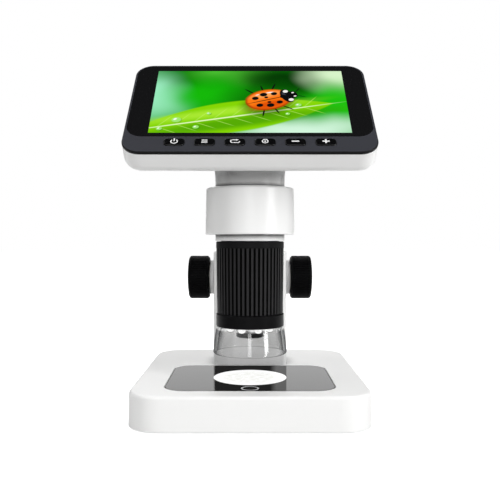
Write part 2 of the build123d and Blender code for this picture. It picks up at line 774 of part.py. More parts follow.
with BuildPart() as rear_housing:
    with BuildSketch(display_face.offset(-bezel_depth)):
        RectangleRounded(shell_width, shell_height, display_corner - shell_inset)
    extrude(amount=bezel_depth - display_depth)
    fillet(rear_housing.edges().group_by(into_display)[-1], shell_back_fillet)
    for front, rear, half_width in flare_levels:
        level, half_length = flare_plane(front, rear)
        with BuildSketch(level):
            Ellipse(half_width, half_length)
    loft()
    with Locations((0, axis_y, neck_bottom)):
        Cylinder(neck_radius, neck_top - neck_bottom, align=top_centre)
    with Locations((0, axis_y, spigot_bottom)):
        Cylinder(spigot_radius, neck_bottom - spigot_bottom + 0.2, align=top_centre)
    # hollow display tray, flare and neck
    with BuildSketch(display_face.offset(-bezel_depth)):
        RectangleRounded(
            shell_width - 2 * shell_wall, shell_height - 2 * shell_wall,
            display_corner - shell_inset - shell_wall,
        )
    extrude(amount=bezel_depth - shell_inside, mode=Mode.SUBTRACT)
    for front, rear, half_width in flare_levels:
        level, half_length = flare_plane(front, rear)
        with BuildSketch(level):
            Ellipse(half_width - flare_wall, half_length - flare_wall)
    loft(mode=Mode.SUBTRACT)
    with Locations((0, axis_y, neck_bottom + 0.3)):
        Cylinder(
            neck_radius - neck_wall, neck_top - neck_bottom, align=top_centre, mode=Mode.SUBTRACT
        )
    with Locations((0, axis_y, spigot_bottom + web_thickness)):
        Cylinder(spigot_bore, neck_bottom - spigot_bottom, align=top_centre, mode=Mode.SUBTRACT)
    with Locations((0, axis_y, spigot_bottom)):
        Cylinder(lens_hole, 2 * web_thickness, mode=Mode.SUBTRACT)
    with Locations(*[(x, y, spigot_bottom) for x, y in rod_places]):
        Cylinder(rod_radius + screw_gap, 2 * (web_thickness - 0.6), mode=Mode.SUBTRACT)
    # posts for the boards and the screws that hold the bezel
    with Locations(display_face.offset(-main_board_back)):
        with Locations(*board_posts):
            Cylinder(2.2, shell_inside - main_board_back + 0.3, align=hang_centre)
    with Locations(display_face.offset(-button_board_depth - board_thickness)):
        with Locations(*button_posts):
            Cylinder(2.0, shell_inside - button_board_depth - board_thickness + 0.3, align=hang_centre)
    with Locations(display_face.offset(-bezel_depth - 3.8)):
        with Locations(*head_screw_points):
            Cylinder(1.95, shell_inside - bezel_depth - 3.5, align=hang_centre)
            Cylinder(head_screw_radius + screw_gap, display_depth, align=hang_centre, mode=Mode.SUBTRACT)
    with Locations(display_face.offset(-head_screw_seat)):
        with Locations(*head_screw_points):
            Cylinder(1.75, display_depth, align=hang_centre, mode=Mode.SUBTRACT)
    # openings for the sockets in the two side walls
    with Locations(display_face.offset(-main_board_back)):
        with Locations((-shell_width / 2, port_row, 0.1)):
            Box(4 * shell_wall, 9.3, 3.5, align=hang_centre, mode=Mode.SUBTRACT)
        with Locations((shell_width / 2, port_row, 0.1)):
            Box(4 * shell_wall, 14.3, 2.0, align=hang_centre, mode=Mode.SUBTRACT)
save(rear_housing, "rear_housing")

# ================================================================ head: display
glass_top = display_top - glass_rim
glass_mid = (glass_top + display_glass_bottom) / 2
glass_height = glass_top - display_glass_bottom
lcd_mid = (lcd_bottom + lcd_top) / 2
lcd_height = lcd_top - lcd_bottom
button_places = [(button_pitch * (i - 2.5), button_row) for i in range(6)]
bezel_boss_length = 3.4

with BuildPart() as front_bezel:
    with BuildSketch(display_face):
        RectangleRounded(display_width, display_height, display_corner)
    extrude(amount=-bezel_depth)
    fillet(front_bezel.edges().group_by(into_display)[0], 0.6)
    chamfer(front_bezel.edges().group_by(into_display)[-1], 0.3)
    with BuildSketch(display_face):
        with Locations((0, glass_mid)):
            RectangleRounded(
                display_width - 2 * glass_rim + 2 * screw_gap, glass_height + 2 * screw_gap,
                display_corner - glass_rim,
            )
    extrude(amount=-display_glass_thickness, mode=Mode.SUBTRACT)
    with BuildSketch(display_face):
        with Locations((0, lcd_mid)):
            Rectangle(lcd_width + 2 * seat_gap, lcd_height + 2 * seat_gap)
        with Locations(*button_places):
            RectangleRounded(button_width + 2 * seat_gap, button_height + 2 * seat_gap, button_corner)
    extrude(amount=-bezel_depth, mode=Mode.SUBTRACT)
    with Locations(display_face.offset(0.2 - bezel_depth)):
        with Locations(*head_screw_points):
            Cylinder(1.7, bezel_boss_length + 0.2, align=hang_centre)
    with Locations(display_face.offset(-bezel_depth)):
        with Locations(*head_screw_points):
            Cylinder(
                head_screw_radius + screw_gap, bezel_boss_length, align=hang_centre, mode=Mode.SUBTRACT
            )
save(front_bezel, "front_bezel")

with BuildPart() as cover_glass:
    with BuildSketch(display_face):
        with Locations((0, glass_mid)):
            RectangleRounded(
                display_width - 2 * glass_rim, glass_height, display_corner - glass_rim - screw_gap
            )
    extrude(amount=-display_glass_thickness)
save(cover_glass, "cover_glass")

with BuildPart() as lcd_module:
    with BuildSketch(display_face.offset(-display_glass_thickness - slide_gap)):
        with Locations((0, lcd_mid)):
            Rectangle(lcd_width, lcd_height)
    extrude(amount=-lcd_thickness)
save(lcd_module, "lcd_module")

with BuildPart() as main_board:
    with BuildSketch(display_face.offset(-main_board_depth)):
        with Locations((0, (main_board_bottom + main_board_top) / 2)):
            RectangleRounded(main_board_width, main_board_top - main_board_bottom, 1.5)
    extrude(amount=-board_thickness)
    with Locations(display_face.offset(-main_board_depth)):
        with Locations((-20, 0), (18, 8)):
            Box(13, 13, 1.4, align=top_centre)
        with Locations((0, -16), (34, -10), (-38, 12)):
            Box(7, 5, 1.7, align=top_centre)
save(main_board, "main_board")

with BuildPart() as battery:
    with BuildSketch(display_face.offset(-main_board_back - slide_gap)):
        with Locations((battery_x, (main_board_bottom + main_board_top) / 2)):
            RectangleRounded(battery_width, battery_height, 2.5)
    extrude(amount=-battery_thickness)
save(battery, "battery")

with BuildPart() as button_board:
    with BuildSketch(display_face.offset(-button_board_depth)):
        with Locations((0, button_row - 0.6)):
            Rectangle(button_board_width, button_board_height)
    extrude(amount=-board_thickness)
save(button_board, "button_board")

switch_height = 1.6
plunger_gap = button_travel + 0.1
button_flange_front = bezel_depth + slide_gap
button_flange = 0.8
button_end = button_board_depth - switch_height - 0.4 - plunger_gap

with BuildPart() as tact_switches:
    with Locations(display_face.offset(-button_board_depth)):
        with Locations(*button_places):
            Box(4.5, 4.5, switch_height, align=top_centre)
            Cylinder(1.1, switch_height + 0.4, align=top_centre)
save(tact_switches, "tact_switches")

button_names = ("power", "menu", "flip", "ok", "minus", "plus")
for place, name in zip(button_places, button_names):
    with BuildPart() as button:
        with BuildSketch(display_face.offset(button_proud)):
            with Locations(place):
                RectangleRounded(button_width, button_height, button_corner - seat_gap)
        extrude(amount=-(button_proud + button_flange_front + button_flange))
        fillet(button.edges().group_by(into_display)[0], 0.3)
        with BuildSketch(display_face.offset(-button_flange_front)):
            with Locations(place):
                RectangleRounded(button_width + 1.4, button_height + 1.2, button_corner)
        extrude(amount=-button_flange)
        with Locations(display_face.offset(-button_flange_front)):
            with Locations(place):
                Cylinder(1.3, button_end - button_flange_front, align=hang_centre)
    save(button, f"{name}_button")

with BuildPart() as usb_socket:
    with Locations(display_face.offset(-main_board_back)):
        with Locations((-shell_width / 2 + 0.5, port_row, 0)):
            Box(7.6, 9.0, 3.2, align=(Align.MIN, Align.CENTER, Align.MAX))
        with Locations((-shell_width / 2 + 0.5, port_row, -1.6)):
            Box(12.0, 8.4, 2.6, mode=Mode.SUBTRACT)
        with Locations((-shell_width / 2 + 1.5, port_row, -1.25)):
            Box(6.0, 6.4, 0.7, align=(Align.MIN, Align.CENTER, Align.MAX))
        with Locations((-shell_width / 2 + 7.1, port_row, 0)):
            Box(1.0, 9.0, 3.2, align=(Align.MIN, Align.CENTER, Align.MAX))
save(usb_socket, "usb_socket")

with BuildPart() as microsd_socket:
    with Locations(display_face.offset(-main_board_back)):
        with Locations((shell_width / 2 - 0.9, port_row, 0)):
            Box(15.0, 14.0, 1.7, align=(Align.MAX, Align.CENTER, Align.MAX))
        with Locations((shell_width / 2 + 0.1, port_row, -0.85)):
            Box(14.0, 11.4, 0.9, align=(Align.MAX, Align.CENTER, Align.CENTER), mode=Mode.SUBTRACT)
save(microsd_socket, "microsd_socket")

with BuildPart() as head_screws:
    head_seats = Plane(display_face.offset(-head_screw_seat).origin, (-1, 0, 0), -display_face.z_dir)
    screws(head_seats, [(-x, y) for x, y in head_screw_points], head_screw_radius, 7.6, 1.65, 1.0)
save(head_screws, "head_screws")

# ================================================================ head: camera and lower end
sensor_z = neck_bottom + 0.3
carrier_top = carrier_bottom + carrier_height
ring_web_top = lower_ring_top + 3.0
led_pocket = board_thickness + slide_gap
led_pocket_radius = hood_tongue_inner - 1.0
led_board_bottom = lower_ring_bottom + slide_gap

with BuildPart() as sensor_board:
    with Locations((0, axis_y, sensor_z)):
        Cylinder(neck_radius - neck_wall - seat_gap, board_thickness, align=top_centre)
        Box(9, 9, 1.2, align=hang_centre)
    with Locations((6, axis_y, sensor_z + board_thickness)):
        Box(10, 4, 1.4, align=top_centre)
save(sensor_board, "sensor_board")

with BuildPart() as camera_ribbon:
    ribbon_foot = sensor_z + board_thickness + 1.4
    board_back_z = display_centre_z - display_centre_y - main_board_back / cos(radians(display_tilt))
    with BuildSketch(Plane.YZ.offset(2)):
        with BuildLine():
            FilletPolyline(
                (axis_y, ribbon_foot),
                (axis_y, ribbon_foot + 18),
                (axis_y + 5, ribbon_foot + 34),
                (axis_y - 4, board_back_z + axis_y - 14),
                (axis_y - 4, board_back_z + axis_y - 4 - 0.25),
                radius=6,
            )
        trace(line_width=0.4)
    extrude(amount=8)
save(camera_ribbon, "camera_ribbon")

with BuildPart() as lower_ring:
    with Locations((0, axis_y, lower_ring_bottom)):
        Cylinder(lower_ring_radius, lower_ring_top - lower_ring_bottom, align=top_centre)
        chamfer(lower_ring.edges().filter_by(GeomType.CIRCLE), 0.35)
    with Locations((0, axis_y, lower_ring_top - 0.2)):
        Cylinder(thread_radius - running_gap, 6.7, align=top_centre)
    with Locations((0, axis_y, ring_web_top)):
        Cylinder(spigot_bore, 10, align=top_centre, mode=Mode.SUBTRACT)
    # groove for the hood's tongue, pocket for the lamp board and hole for the lens barrel
    with BuildSketch(Plane.XY.offset(lower_ring_bottom)):
        with Locations((0, axis_y)):
            Circle(hood_tongue_outer + screw_gap)
            Circle(hood_tongue_inner - screw_gap, mode=Mode.SUBTRACT)
    extrude(amount=hood_tongue + slide_gap, mode=Mode.SUBTRACT)
    with Locations((0, axis_y, lower_ring_bottom)):
        Cylinder(led_pocket_radius, led_pocket, align=top_centre, mode=Mode.SUBTRACT)
        Cylinder(lens_hole, 20, align=top_centre, mode=Mode.SUBTRACT)
    with Locations(*[(x, y, ring_web_top) for x, y in rod_places]):
        Cylinder(rod_radius + screw_gap, 3.0, align=hang_centre, mode=Mode.SUBTRACT)
save(lower_ring, "lower_ring")

with BuildPart() as guide_rods:
    with Locations(*[(x, y, ring_web_top - 3.0) for x, y in rod_places]):
        Cylinder(rod_radius, spigot_bottom + web_thickness - 0.6 - ring_web_top + 3.0, align=top_centre)
save(guide_rods, "guide_rods")

with BuildPart() as led_board:
    with BuildSketch(Plane.XY.offset(led_board_bottom)):
        with Locations((0, axis_y)):
            Circle(led_pocket_radius - seat_gap)
            Circle(lens_radius + 0.5, mode=Mode.SUBTRACT)
    extrude(amount=board_thickness)
save(led_board, "led_board")

with BuildPart() as hood_leds:
    with Locations((0, axis_y, led_board_bottom)):
        with PolarLocations(led_circle, led_count, start_angle=180 / led_count):
            Cylinder(led_radius, led_length, align=hang_centre)
            Cylinder(led_radius + 0.3, 0.7, align=hang_centre)
    fillet(hood_leds.edges().group_by(Axis.Z)[0], 1.3)
save(hood_leds, "hood_leds")

with BuildPart() as hood:
    hood_plane = Plane(origin=(0, axis_y, 0), x_dir=(1, 0, 0), z_dir=(0, -1, 0))
    with BuildSketch(hood_plane):
        with BuildLine():
            outer = ThreePointArc(
                (hood_top_radius, lower_ring_bottom),
                ((hood_top_radius + hood_bottom_radius) / 2 + 0.2, (lower_ring_bottom + hood_bottom) / 2),
                (hood_bottom_radius, hood_bottom + 0.7),
            )
            lip = TangentArc(outer @ 1, (hood_bottom_radius - hood_wall, hood_bottom + 0.7), tangent=outer % 1)
            inner = Line(lip @ 1, (hood_top_radius - hood_wall, lower_ring_bottom - 2.0))
            tongue = Polyline(
                inner @ 1, (hood_tongue_inner, lower_ring_bottom - 1.0),
                (hood_tongue_inner, lower_ring_bottom + hood_tongue),
                (hood_tongue_outer, lower_ring_bottom + hood_tongue),
                (hood_tongue_outer, lower_ring_bottom), (hood_top_radius, lower_ring_bottom),
            )
        make_face()
    revolve(axis=Axis((0, axis_y, 0), (0, 0, 1)))
save(hood, "hood")

# ================================================================ focus ring and lens
with BuildPart() as focus_ring:
    rib_length = ring_top - ring_band - ring_bottom
    with BuildSketch(Plane.XY.offset(ring_bottom)):
        with Locations((0, axis_y)):
            Circle(rib_radius_top)
            with PolarLocations(rib_radius_top + 0.1, rib_count):
                Circle(rib_groove_radius, mode=Mode.SUBTRACT)
    extrude(amount=rib_length)
    with Locations((0, axis_y, ring_bottom)):
        Cone(rib_radius_bottom, rib_radius_top, rib_length, align=top_centre, mode=Mode.INTERSECT)
    with BuildSketch(Plane.XY.offset(ring_top - ring_band)):
        with Locations((0, axis_y)):
            Circle(ring_band_radius)
    extrude(amount=ring_band)
    chamfer(focus_ring.edges().filter_by(GeomType.CIRCLE).group_by(Axis.Z)[-1], 0.4)
    with Locations((0, axis_y, ring_bottom)):
        Cylinder(thread_radius, ring_top - ring_bottom, align=top_centre, mode=Mode.SUBTRACT)
save(focus_ring, "focus_ring")

with BuildPart() as lens_carrier:
    with Locations((0, axis_y, carrier_bottom)):
        Cylinder(thread_radius - running_gap, carrier_height, align=top_centre)
        Cylinder(lens_radius, carrier_height, align=top_centre, mode=Mode.SUBTRACT)
    with Locations(*[(x, y, carrier_bottom) for x, y in rod_places]):
        Cylinder(rod_radius + running_gap, carrier_height, align=top_centre, mode=Mode.SUBTRACT)
save(lens_carrier, "lens_carrier")

barrel_bore = 5.6
lens_seat = 1.6  # from the barrel's mouth up to the first lens
lens_thickness = 3.2
lens_curve = 9.0

with BuildPart() as lens_barrel:
    with Locations((0, axis_y, lens_bottom)):
        Cylinder(lens_radius, lens_top - lens_bottom, align=top_centre)
    chamfer(lens_barrel.edges().filter_by(GeomType.CIRCLE).group_by(Axis.Z)[0], 0.5)
    with Locations((0, axis_y, lens_bottom + lens_seat)):
        Cylinder(barrel_bore, lens_top - lens_bottom, align=top_centre, mode=Mode.SUBTRACT)
    with Locations((0, axis_y, lens_bottom)):
        Cone(barrel_bore - 0.4, barrel_bore - 1.4, lens_seat, align=top_centre, mode=Mode.SUBTRACT)
save(lens_barrel, "lens_barrel")

with BuildPart() as single_lens:
    Cylinder(barrel_bore - screw_gap, lens_thickness, align=top_centre)
    with Locations((0, 0, lens_thickness - lens_curve)):
        Sphere(lens_curve, mode=Mode.INTERSECT)

with BuildPart() as lenses:
    with Locations((0, axis_y, lens_bottom + lens_seat), (0, axis_y, lens_top - 8.0)):
        add(single_lens.part)
save(lenses, "lenses")
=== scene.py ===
"""Looks of the LCD digital microscope: one section per piece, from the base up to the display."""

import math

import bmesh
import bpy
from mathutils import Matrix, Vector


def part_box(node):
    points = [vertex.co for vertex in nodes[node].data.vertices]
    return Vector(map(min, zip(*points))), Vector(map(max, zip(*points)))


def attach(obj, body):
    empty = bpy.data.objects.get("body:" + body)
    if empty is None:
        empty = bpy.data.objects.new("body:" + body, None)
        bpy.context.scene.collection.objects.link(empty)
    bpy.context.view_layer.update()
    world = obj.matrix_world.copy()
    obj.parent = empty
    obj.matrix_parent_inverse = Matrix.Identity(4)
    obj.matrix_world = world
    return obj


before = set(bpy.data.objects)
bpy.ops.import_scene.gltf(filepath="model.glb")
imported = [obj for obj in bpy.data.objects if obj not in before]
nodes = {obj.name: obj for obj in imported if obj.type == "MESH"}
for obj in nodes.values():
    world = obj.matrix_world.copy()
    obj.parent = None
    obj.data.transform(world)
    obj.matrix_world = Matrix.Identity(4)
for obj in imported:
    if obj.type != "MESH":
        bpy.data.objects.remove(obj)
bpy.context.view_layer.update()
MM = 0.001

# ---------------------------------------------------------------- studio
# A white backdrop and a table that looks white, with a dark room to the sides and in front. A tall
# soft key stands on the right, a strip and a wide box in front, banks of light on the left, above
# and behind, and a weak box on the far right. A weak sky fills what they leave.
scene = bpy.context.scene
scene.view_settings.view_transform = "Standard"

PICTURE_WIDTH = 500
FOCAL_PIXELS = 662
SENSOR_WIDTH = 36.0
CAMERA_DISTANCE = 363.2 * MM
CAMERA_HEIGHT = 88.9 * MM
CAMERA_PITCH = math.radians(1.0)

camera_data = bpy.data.cameras.new("camera")
camera_data.sensor_width = SENSOR_WIDTH
camera_data.lens = FOCAL_PIXELS / PICTURE_WIDTH * SENSOR_WIDTH
camera = bpy.data.objects.new("camera", camera_data)
camera.location = (0, -CAMERA_DISTANCE, CAMERA_HEIGHT)
camera.rotation_euler = (math.pi / 2 - CAMERA_PITCH, 0, 0)
scene.collection.objects.link(camera)
scene.camera = camera


def linear(hex_colour):
    """An sRGB hex colour as linear RGBA."""
    channels = [int(hex_colour[i:i + 2], 16) / 255 for i in (1, 3, 5)]
    return (*[c / 12.92 if c <= 0.04045 else ((c + 0.055) / 1.055) ** 2.4 for c in channels], 1.0)


def add_node(tree, kind, inputs=(), **settings):
    """Add a shader node with its settings; each input takes a value or the socket that feeds it."""
    node = tree.nodes.new(kind)
    for name, value in settings.items():
        setattr(node, name, value)
    for key, value in dict(inputs).items():
        if isinstance(value, bpy.types.NodeSocket):
            tree.links.new(value, node.inputs[key])
        else:
            node.inputs[key].default_value = value
    return node


def new_material(name):
    """An empty node material and its tree."""
    material = bpy.data.materials.new(name)
    material.use_nodes = True
    material.node_tree.nodes.clear()
    return material, material.node_tree


SKY_LEVEL = 0.25      # what matt surfaces get from above
UNDER_LEVEL = 0.12    # and from below the edge of the table
CEILING_LEVEL = 0.04  # what glossy surfaces mirror overhead
ROOM_LEVEL = 0.05     # and to the sides and the front
CEILING_SETS_IN, CEILING_FULL = 0.55, 0.85     # by the height of a direction, one being straight up
BACKDROP_SETS_IN, BACKDROP_FULL = 0.88, 0.96   # by how far a direction points back, along Y
HORIZON_UNDER, HORIZON_ABOVE = -0.10, 0.15     # by height again, from the low light to the sky's
sky = bpy.data.worlds.new("studio_sky")
scene.world = sky
sky.use_nodes = True
sky_tree = sky.node_tree
sky_tree.nodes.clear()
rays = add_node(sky_tree, "ShaderNodeLightPath")
direction = add_node(sky_tree, "ShaderNodeTexCoord")
axes = add_node(sky_tree, "ShaderNodeSeparateXYZ", {0: direction.outputs["Generated"]})
ceiling = add_node(
    sky_tree, "ShaderNodeMapRange",
    {"Value": axes.outputs["Z"], "From Min": CEILING_SETS_IN, "From Max": CEILING_FULL,
     "To Min": 1.0, "To Max": CEILING_LEVEL},
    interpolation_type="SMOOTHSTEP",
)
room = add_node(
    sky_tree, "ShaderNodeMapRange",
    {"Value": axes.outputs["Y"], "From Min": BACKDROP_SETS_IN, "From Max": BACKDROP_FULL,
     "To Min": ROOM_LEVEL, "To Max": 1.0},
    interpolation_type="SMOOTHSTEP",
)
backdrop = add_node(
    sky_tree, "ShaderNodeMath", {0: room.outputs[0], 1: ceiling.outputs[0]}, operation="MULTIPLY"
)
seen_in_gloss = add_node(
    sky_tree, "ShaderNodeMath",
    {0: rays.outputs["Is Glossy Ray"], 1: backdrop.outputs[0]}, operation="MULTIPLY",
)
seen_directly = add_node(
    sky_tree, "ShaderNodeMath",
    {0: rays.outputs["Is Camera Ray"], 1: rays.outputs["Is Transmission Ray"]}, operation="MAXIMUM",
)
seen = add_node(
    sky_tree, "ShaderNodeMath",
    {0: seen_directly.outputs[0], 1: seen_in_gloss.outputs[0]}, operation="MAXIMUM",
)
above = add_node(
    sky_tree, "ShaderNodeMapRange",
    {"Value": axes.outputs["Z"], "From Min": HORIZON_UNDER, "From Max": HORIZON_ABOVE,
     "To Min": UNDER_LEVEL, "To Max": SKY_LEVEL},
    interpolation_type="SMOOTHSTEP",
)
not_gloss = add_node(
    sky_tree, "ShaderNodeMath", {0: 1.0, 1: rays.outputs["Is Glossy Ray"]}, operation="SUBTRACT"
)
diffuse_level = add_node(
    sky_tree, "ShaderNodeMath", {0: not_gloss.outputs[0], 1: above.outputs[0]}, operation="MULTIPLY"
)
level = add_node(
    sky_tree, "ShaderNodeMath", {0: seen.outputs[0], 1: diffuse_level.outputs[0]}, operation="MAXIMUM"
)
background = add_node(
    sky_tree, "ShaderNodeBackground", {"Color": linear("#FFFFFF"), "Strength": level.outputs[0]}
)
add_node(sky_tree, "ShaderNodeOutputWorld", {"Surface": background.outputs[0]})

LAMP_TARGET = Vector((0, 0, 80 * MM))


def soft_box(name, azimuth, elevation, distance, width, height, share):
    """A rectangular lamp, in degrees and metres, that gives the object that share of a full white."""
    data = bpy.data.lights.new(name, "AREA")
    data.shape = "RECTANGLE"
    data.size = width
    data.size_y = height
    data.energy = share * (math.pi * distance) ** 2
    lamp = bpy.data.objects.new(name, data)
    a, e = math.radians(azimuth), math.radians(elevation)
    away = Vector((math.sin(a) * math.cos(e), -math.cos(a) * math.cos(e), math.sin(e)))
    lamp.location = LAMP_TARGET + away * distance
    lamp.rotation_euler = away.to_track_quat("Z", "Y").to_euler()
    scene.collection.objects.link(lamp)


soft_box("key_box", 54, 19, 1.1, 0.16, 0.88, 0.56)
soft_box("front_strip", -1, 12, 1.3, 0.26, 0.90, 0.18)
soft_box("front_left_box", -32, 14, 1.2, 1.00, 0.90, 0.14)
soft_box("left_bank", -95, 50, 1.2, 0.60, 0.50, 0.18)
soft_box("right_box", 102, 20, 1.2, 0.30, 0.80, 0.11)
soft_box("top_bank", 0, 62, 1.2, 1.20, 0.50, 0.18)
soft_box("back_bank", 188, 38, 1.3, 1.20, 0.60, 0.28)

FLOOR_HALF = 4.0
FLOOR_FRONT = 0.45  # the dark room starts here, on the camera's side
FLOOR_GLOW = 0.82
MIRRORED_FROM, MIRRORED_FULL = -0.05, 0.10  # from here back, glossy surfaces mirror it as white
floor_mesh = bpy.data.meshes.new("floor")
floor_mesh.from_pydata(
    [(-FLOOR_HALF, -FLOOR_FRONT, 0), (FLOOR_HALF, -FLOOR_FRONT, 0),
     (FLOOR_HALF, FLOOR_HALF, 0), (-FLOOR_HALF, FLOOR_HALF, 0)], [], [(0, 1, 2, 3)]
)
floor = bpy.data.objects.new("floor", floor_mesh)
scene.collection.objects.link(floor)
floor_paper, tree = new_material("white_paper_floor")
rays = add_node(tree, "ShaderNodeLightPath")
shown = add_node(
    tree, "ShaderNodeMath",
    {0: rays.outputs["Is Camera Ray"], 1: rays.outputs["Is Transmission Ray"]}, operation="MAXIMUM",
)
place = add_node(tree, "ShaderNodeTexCoord").outputs["Object"]
along = add_node(tree, "ShaderNodeSeparateXYZ", {0: place})
behind = add_node(
    tree, "ShaderNodeMapRange",
    {"Value": along.outputs["Y"], "From Min": MIRRORED_FROM, "From Max": MIRRORED_FULL},
)
mirrored = add_node(
    tree, "ShaderNodeMath",
    {0: rays.outputs["Is Glossy Ray"], 1: behind.outputs[0]}, operation="MULTIPLY",
)
white = add_node(
    tree, "ShaderNodeMath", {0: shown.outputs[0], 1: mirrored.outputs[0]}, operation="MAXIMUM"
)
paper = add_node(
    tree, "ShaderNodeMix",
    {0: white.outputs[0], 6: linear("#C9C9C9"), 7: linear("#F4F4F4")}, data_type="RGBA",
)
glow = add_node(tree, "ShaderNodeMath", {0: white.outputs[0], 1: FLOOR_GLOW}, operation="MULTIPLY")
matte = add_node(tree, "ShaderNodeBsdfDiffuse", {"Color": paper.outputs[2]})
lift = add_node(tree, "ShaderNodeEmission", {"Color": linear("#FFFFFF"), "Strength": glow.outputs[0]})
both = add_node(tree, "ShaderNodeAddShader", {0: matte.outputs[0], 1: lift.outputs[0]})
add_node(tree, "ShaderNodeOutputMaterial", {"Surface": both.outputs[0]})
floor_mesh.materials.append(floor_paper)

# a card in front of the column that only reflections see: it paints a dark reflection of the column
# into the stage glass, glowing paler towards its right end
FLAG_LEFT, FLAG_RIGHT = -19.9 * MM, 20.6 * MM
FLAG_BOTTOM, FLAG_TOP = 17.4 * MM, 36 * MM
FLAG_Y = 10.7 * MM
# the glow of the painted reflection: dark, then paler towards the card's right end
FLAG_DARK, FLAG_PALE = 0.045, 0.38  # its tone, which pales towards its right end
FLAG_DARK_TO, FLAG_PALE_FROM = 11.5 * MM, 15 * MM
flag_mesh = bpy.data.meshes.new("flag")
flag_mesh.from_pydata(
    [(FLAG_LEFT, FLAG_Y, FLAG_BOTTOM), (FLAG_RIGHT, FLAG_Y, FLAG_BOTTOM),
     (FLAG_RIGHT, FLAG_Y, FLAG_TOP), (FLAG_LEFT, FLAG_Y, FLAG_TOP)], [], [(0, 1, 2, 3)]
)
flag = bpy.data.objects.new("flag", flag_mesh)
scene.collection.objects.link(flag)
flag.visible_camera = flag.visible_diffuse = flag.visible_shadow = flag.visible_transmission = False
painted_reflection, tree = new_material("painted_reflection_card")
place = add_node(tree, "ShaderNodeTexCoord").outputs["Object"]
across = add_node(tree, "ShaderNodeSeparateXYZ", {0: place})
fade = add_node(
    tree, "ShaderNodeMapRange",
    {"Value": across.outputs["X"], "From Min": FLAG_DARK_TO, "From Max": FLAG_PALE_FROM,
     "To Min": FLAG_DARK, "To Max": FLAG_PALE},
)
# painted reflection: the card glows, so the stage glass mirrors it as the shaded column
reflection_glow = add_node(tree, "ShaderNodeEmission", {"Color": linear("#FFFFFF"), "Strength": fade.outputs[0]})
add_node(tree, "ShaderNodeOutputMaterial", {"Surface": reflection_glow.outputs[0]})
flag_mesh.materials.append(painted_reflection)

# ---------------------------------------------------------------- base housing
# A deep tray of white ABS turned upside down, injection moulded. The tool's spark-eroded surface
# breaks the gloss into a satin. A drawn shade greys the flat top around the column's foot.
AXIS_Y = -22.0 * MM


def dress(material, *names):
    """Give CAD nodes their finish."""
    for name in names:
        for slot in nodes[name].material_slots:
            slot.material = material


def moulded(
    name, colour, shade, roughness, grain_mm=0.4, grain_depth_mm=0.004, edge_mm=0.25, gloss=0.5
):
    """Moulded plastic: mottled where the melt flowed, a fine grain from the tool, softened edges."""
    flow_mm = 25
    material, tree = new_material(name)
    place = add_node(tree, "ShaderNodeTexCoord").outputs["Object"]
    flow = add_node(
        tree, "ShaderNodeTexNoise", {"Vector": place, "Scale": 1 / (flow_mm * MM), "Detail": 3.0}
    )
    tint = add_node(
        tree, "ShaderNodeMix",
        {0: flow.outputs[0], 6: linear(colour), 7: linear(shade)}, data_type="RGBA",
    )
    grain = add_node(
        tree, "ShaderNodeTexNoise", {"Vector": place, "Scale": 1 / (grain_mm * MM), "Detail": 2.0}
    )
    sheen = add_node(
        tree, "ShaderNodeMapRange",
        {"Value": grain.outputs[0], "To Min": roughness - 0.05, "To Max": roughness + 0.05},
    )
    edge = add_node(tree, "ShaderNodeBevel", {"Radius": edge_mm * MM}, samples=4)
    bump = add_node(
        tree, "ShaderNodeBump",
        {"Height": grain.outputs[0], "Distance": grain_depth_mm * MM, "Strength": 0.6,
         "Normal": edge.outputs[0]},
    )
    shader = add_node(
        tree, "ShaderNodeBsdfPrincipled",
        {"Base Color": tint.outputs[2], "Roughness": sheen.outputs[0], "Normal": bump.outputs[0],
         "Specular IOR Level": gloss, "IOR": 1.53},
    )
    add_node(tree, "ShaderNodeOutputMaterial", {"Surface": shader.outputs[0]})
    return material


def openness(material, reach_mm, closed, open_from, only_local):
    """How open a place is, from nought in a deep corner to one, for surfaces within the reach."""
    seen = add_node(
        material.node_tree, "ShaderNodeAmbientOcclusion", {"Distance": reach_mm * MM}, samples=8,
        only_local=only_local,
    )
    return add_node(
        material.node_tree, "ShaderNodeMapRange",
        {"Value": seen.outputs["AO"], "From Min": closed, "From Max": open_from},
        interpolation_type="SMOOTHSTEP",
    ).outputs[0]


def deepen(material, share, deep):
    """Let the colour fall off to a deep one where the share goes to nought."""
    tree = material.node_tree
    shader = next(node for node in tree.nodes if node.type == "BSDF_PRINCIPLED")
    colour = shader.inputs["Base Color"].links[0].from_socket
    tone = add_node(tree, "ShaderNodeMix", {0: share, 6: linear(deep), 7: colour}, data_type="RGBA")
    tree.links.new(tone.outputs[2], shader.inputs["Base Color"])


base_abs = moulded("white_abs_base", "#FCFCFB", "#F8F8F7", 0.34, edge_mm=0.5)
grey_abs = moulded("grey_abs_moulded", "#C4C4C5", "#BCBCBE", 0.42)
base_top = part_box("base_housing")[1].z
TOP_FLAT = 0.3 * MM  # what lies lower than this below the top is wall or rounded edge
tree = base_abs.node_tree
place = add_node(tree, "ShaderNodeTexCoord").outputs["Object"]
axes = add_node(tree, "ShaderNodeSeparateXYZ", {0: place})
wall = add_node(
    tree, "ShaderNodeMath", {0: axes.outputs["Z"], 1: base_top - TOP_FLAT}, operation="LESS_THAN"
)
top_open = openness(base_abs, 12, closed=0.30, open_from=0.85, only_local=False)
lit_share = add_node(
    tree, "ShaderNodeMath", {0: wall.outputs[0], 1: top_open}, operation="MAXIMUM"
)
deepen(base_abs, lit_share.outputs[0], "#8C8C8D")
dress(base_abs, "base_housing")
dress(grey_abs, "base_cover")

# ---------------------------------------------------------------- feet, screws and ballast
# Black nitrile pads glued into the cover, nickel-plated steel screws, and a rolled steel plate
# that keeps the stand from tipping. Rubber is matt and picks up dust; plating is bright.
nitrile = moulded("nitrile_rubber_moulded", "#1A1A1B", "#242425", 0.75, 0.8, 0.02, 0.3, gloss=0.3)
dress(nitrile, "rubber_feet", "collar_liner")


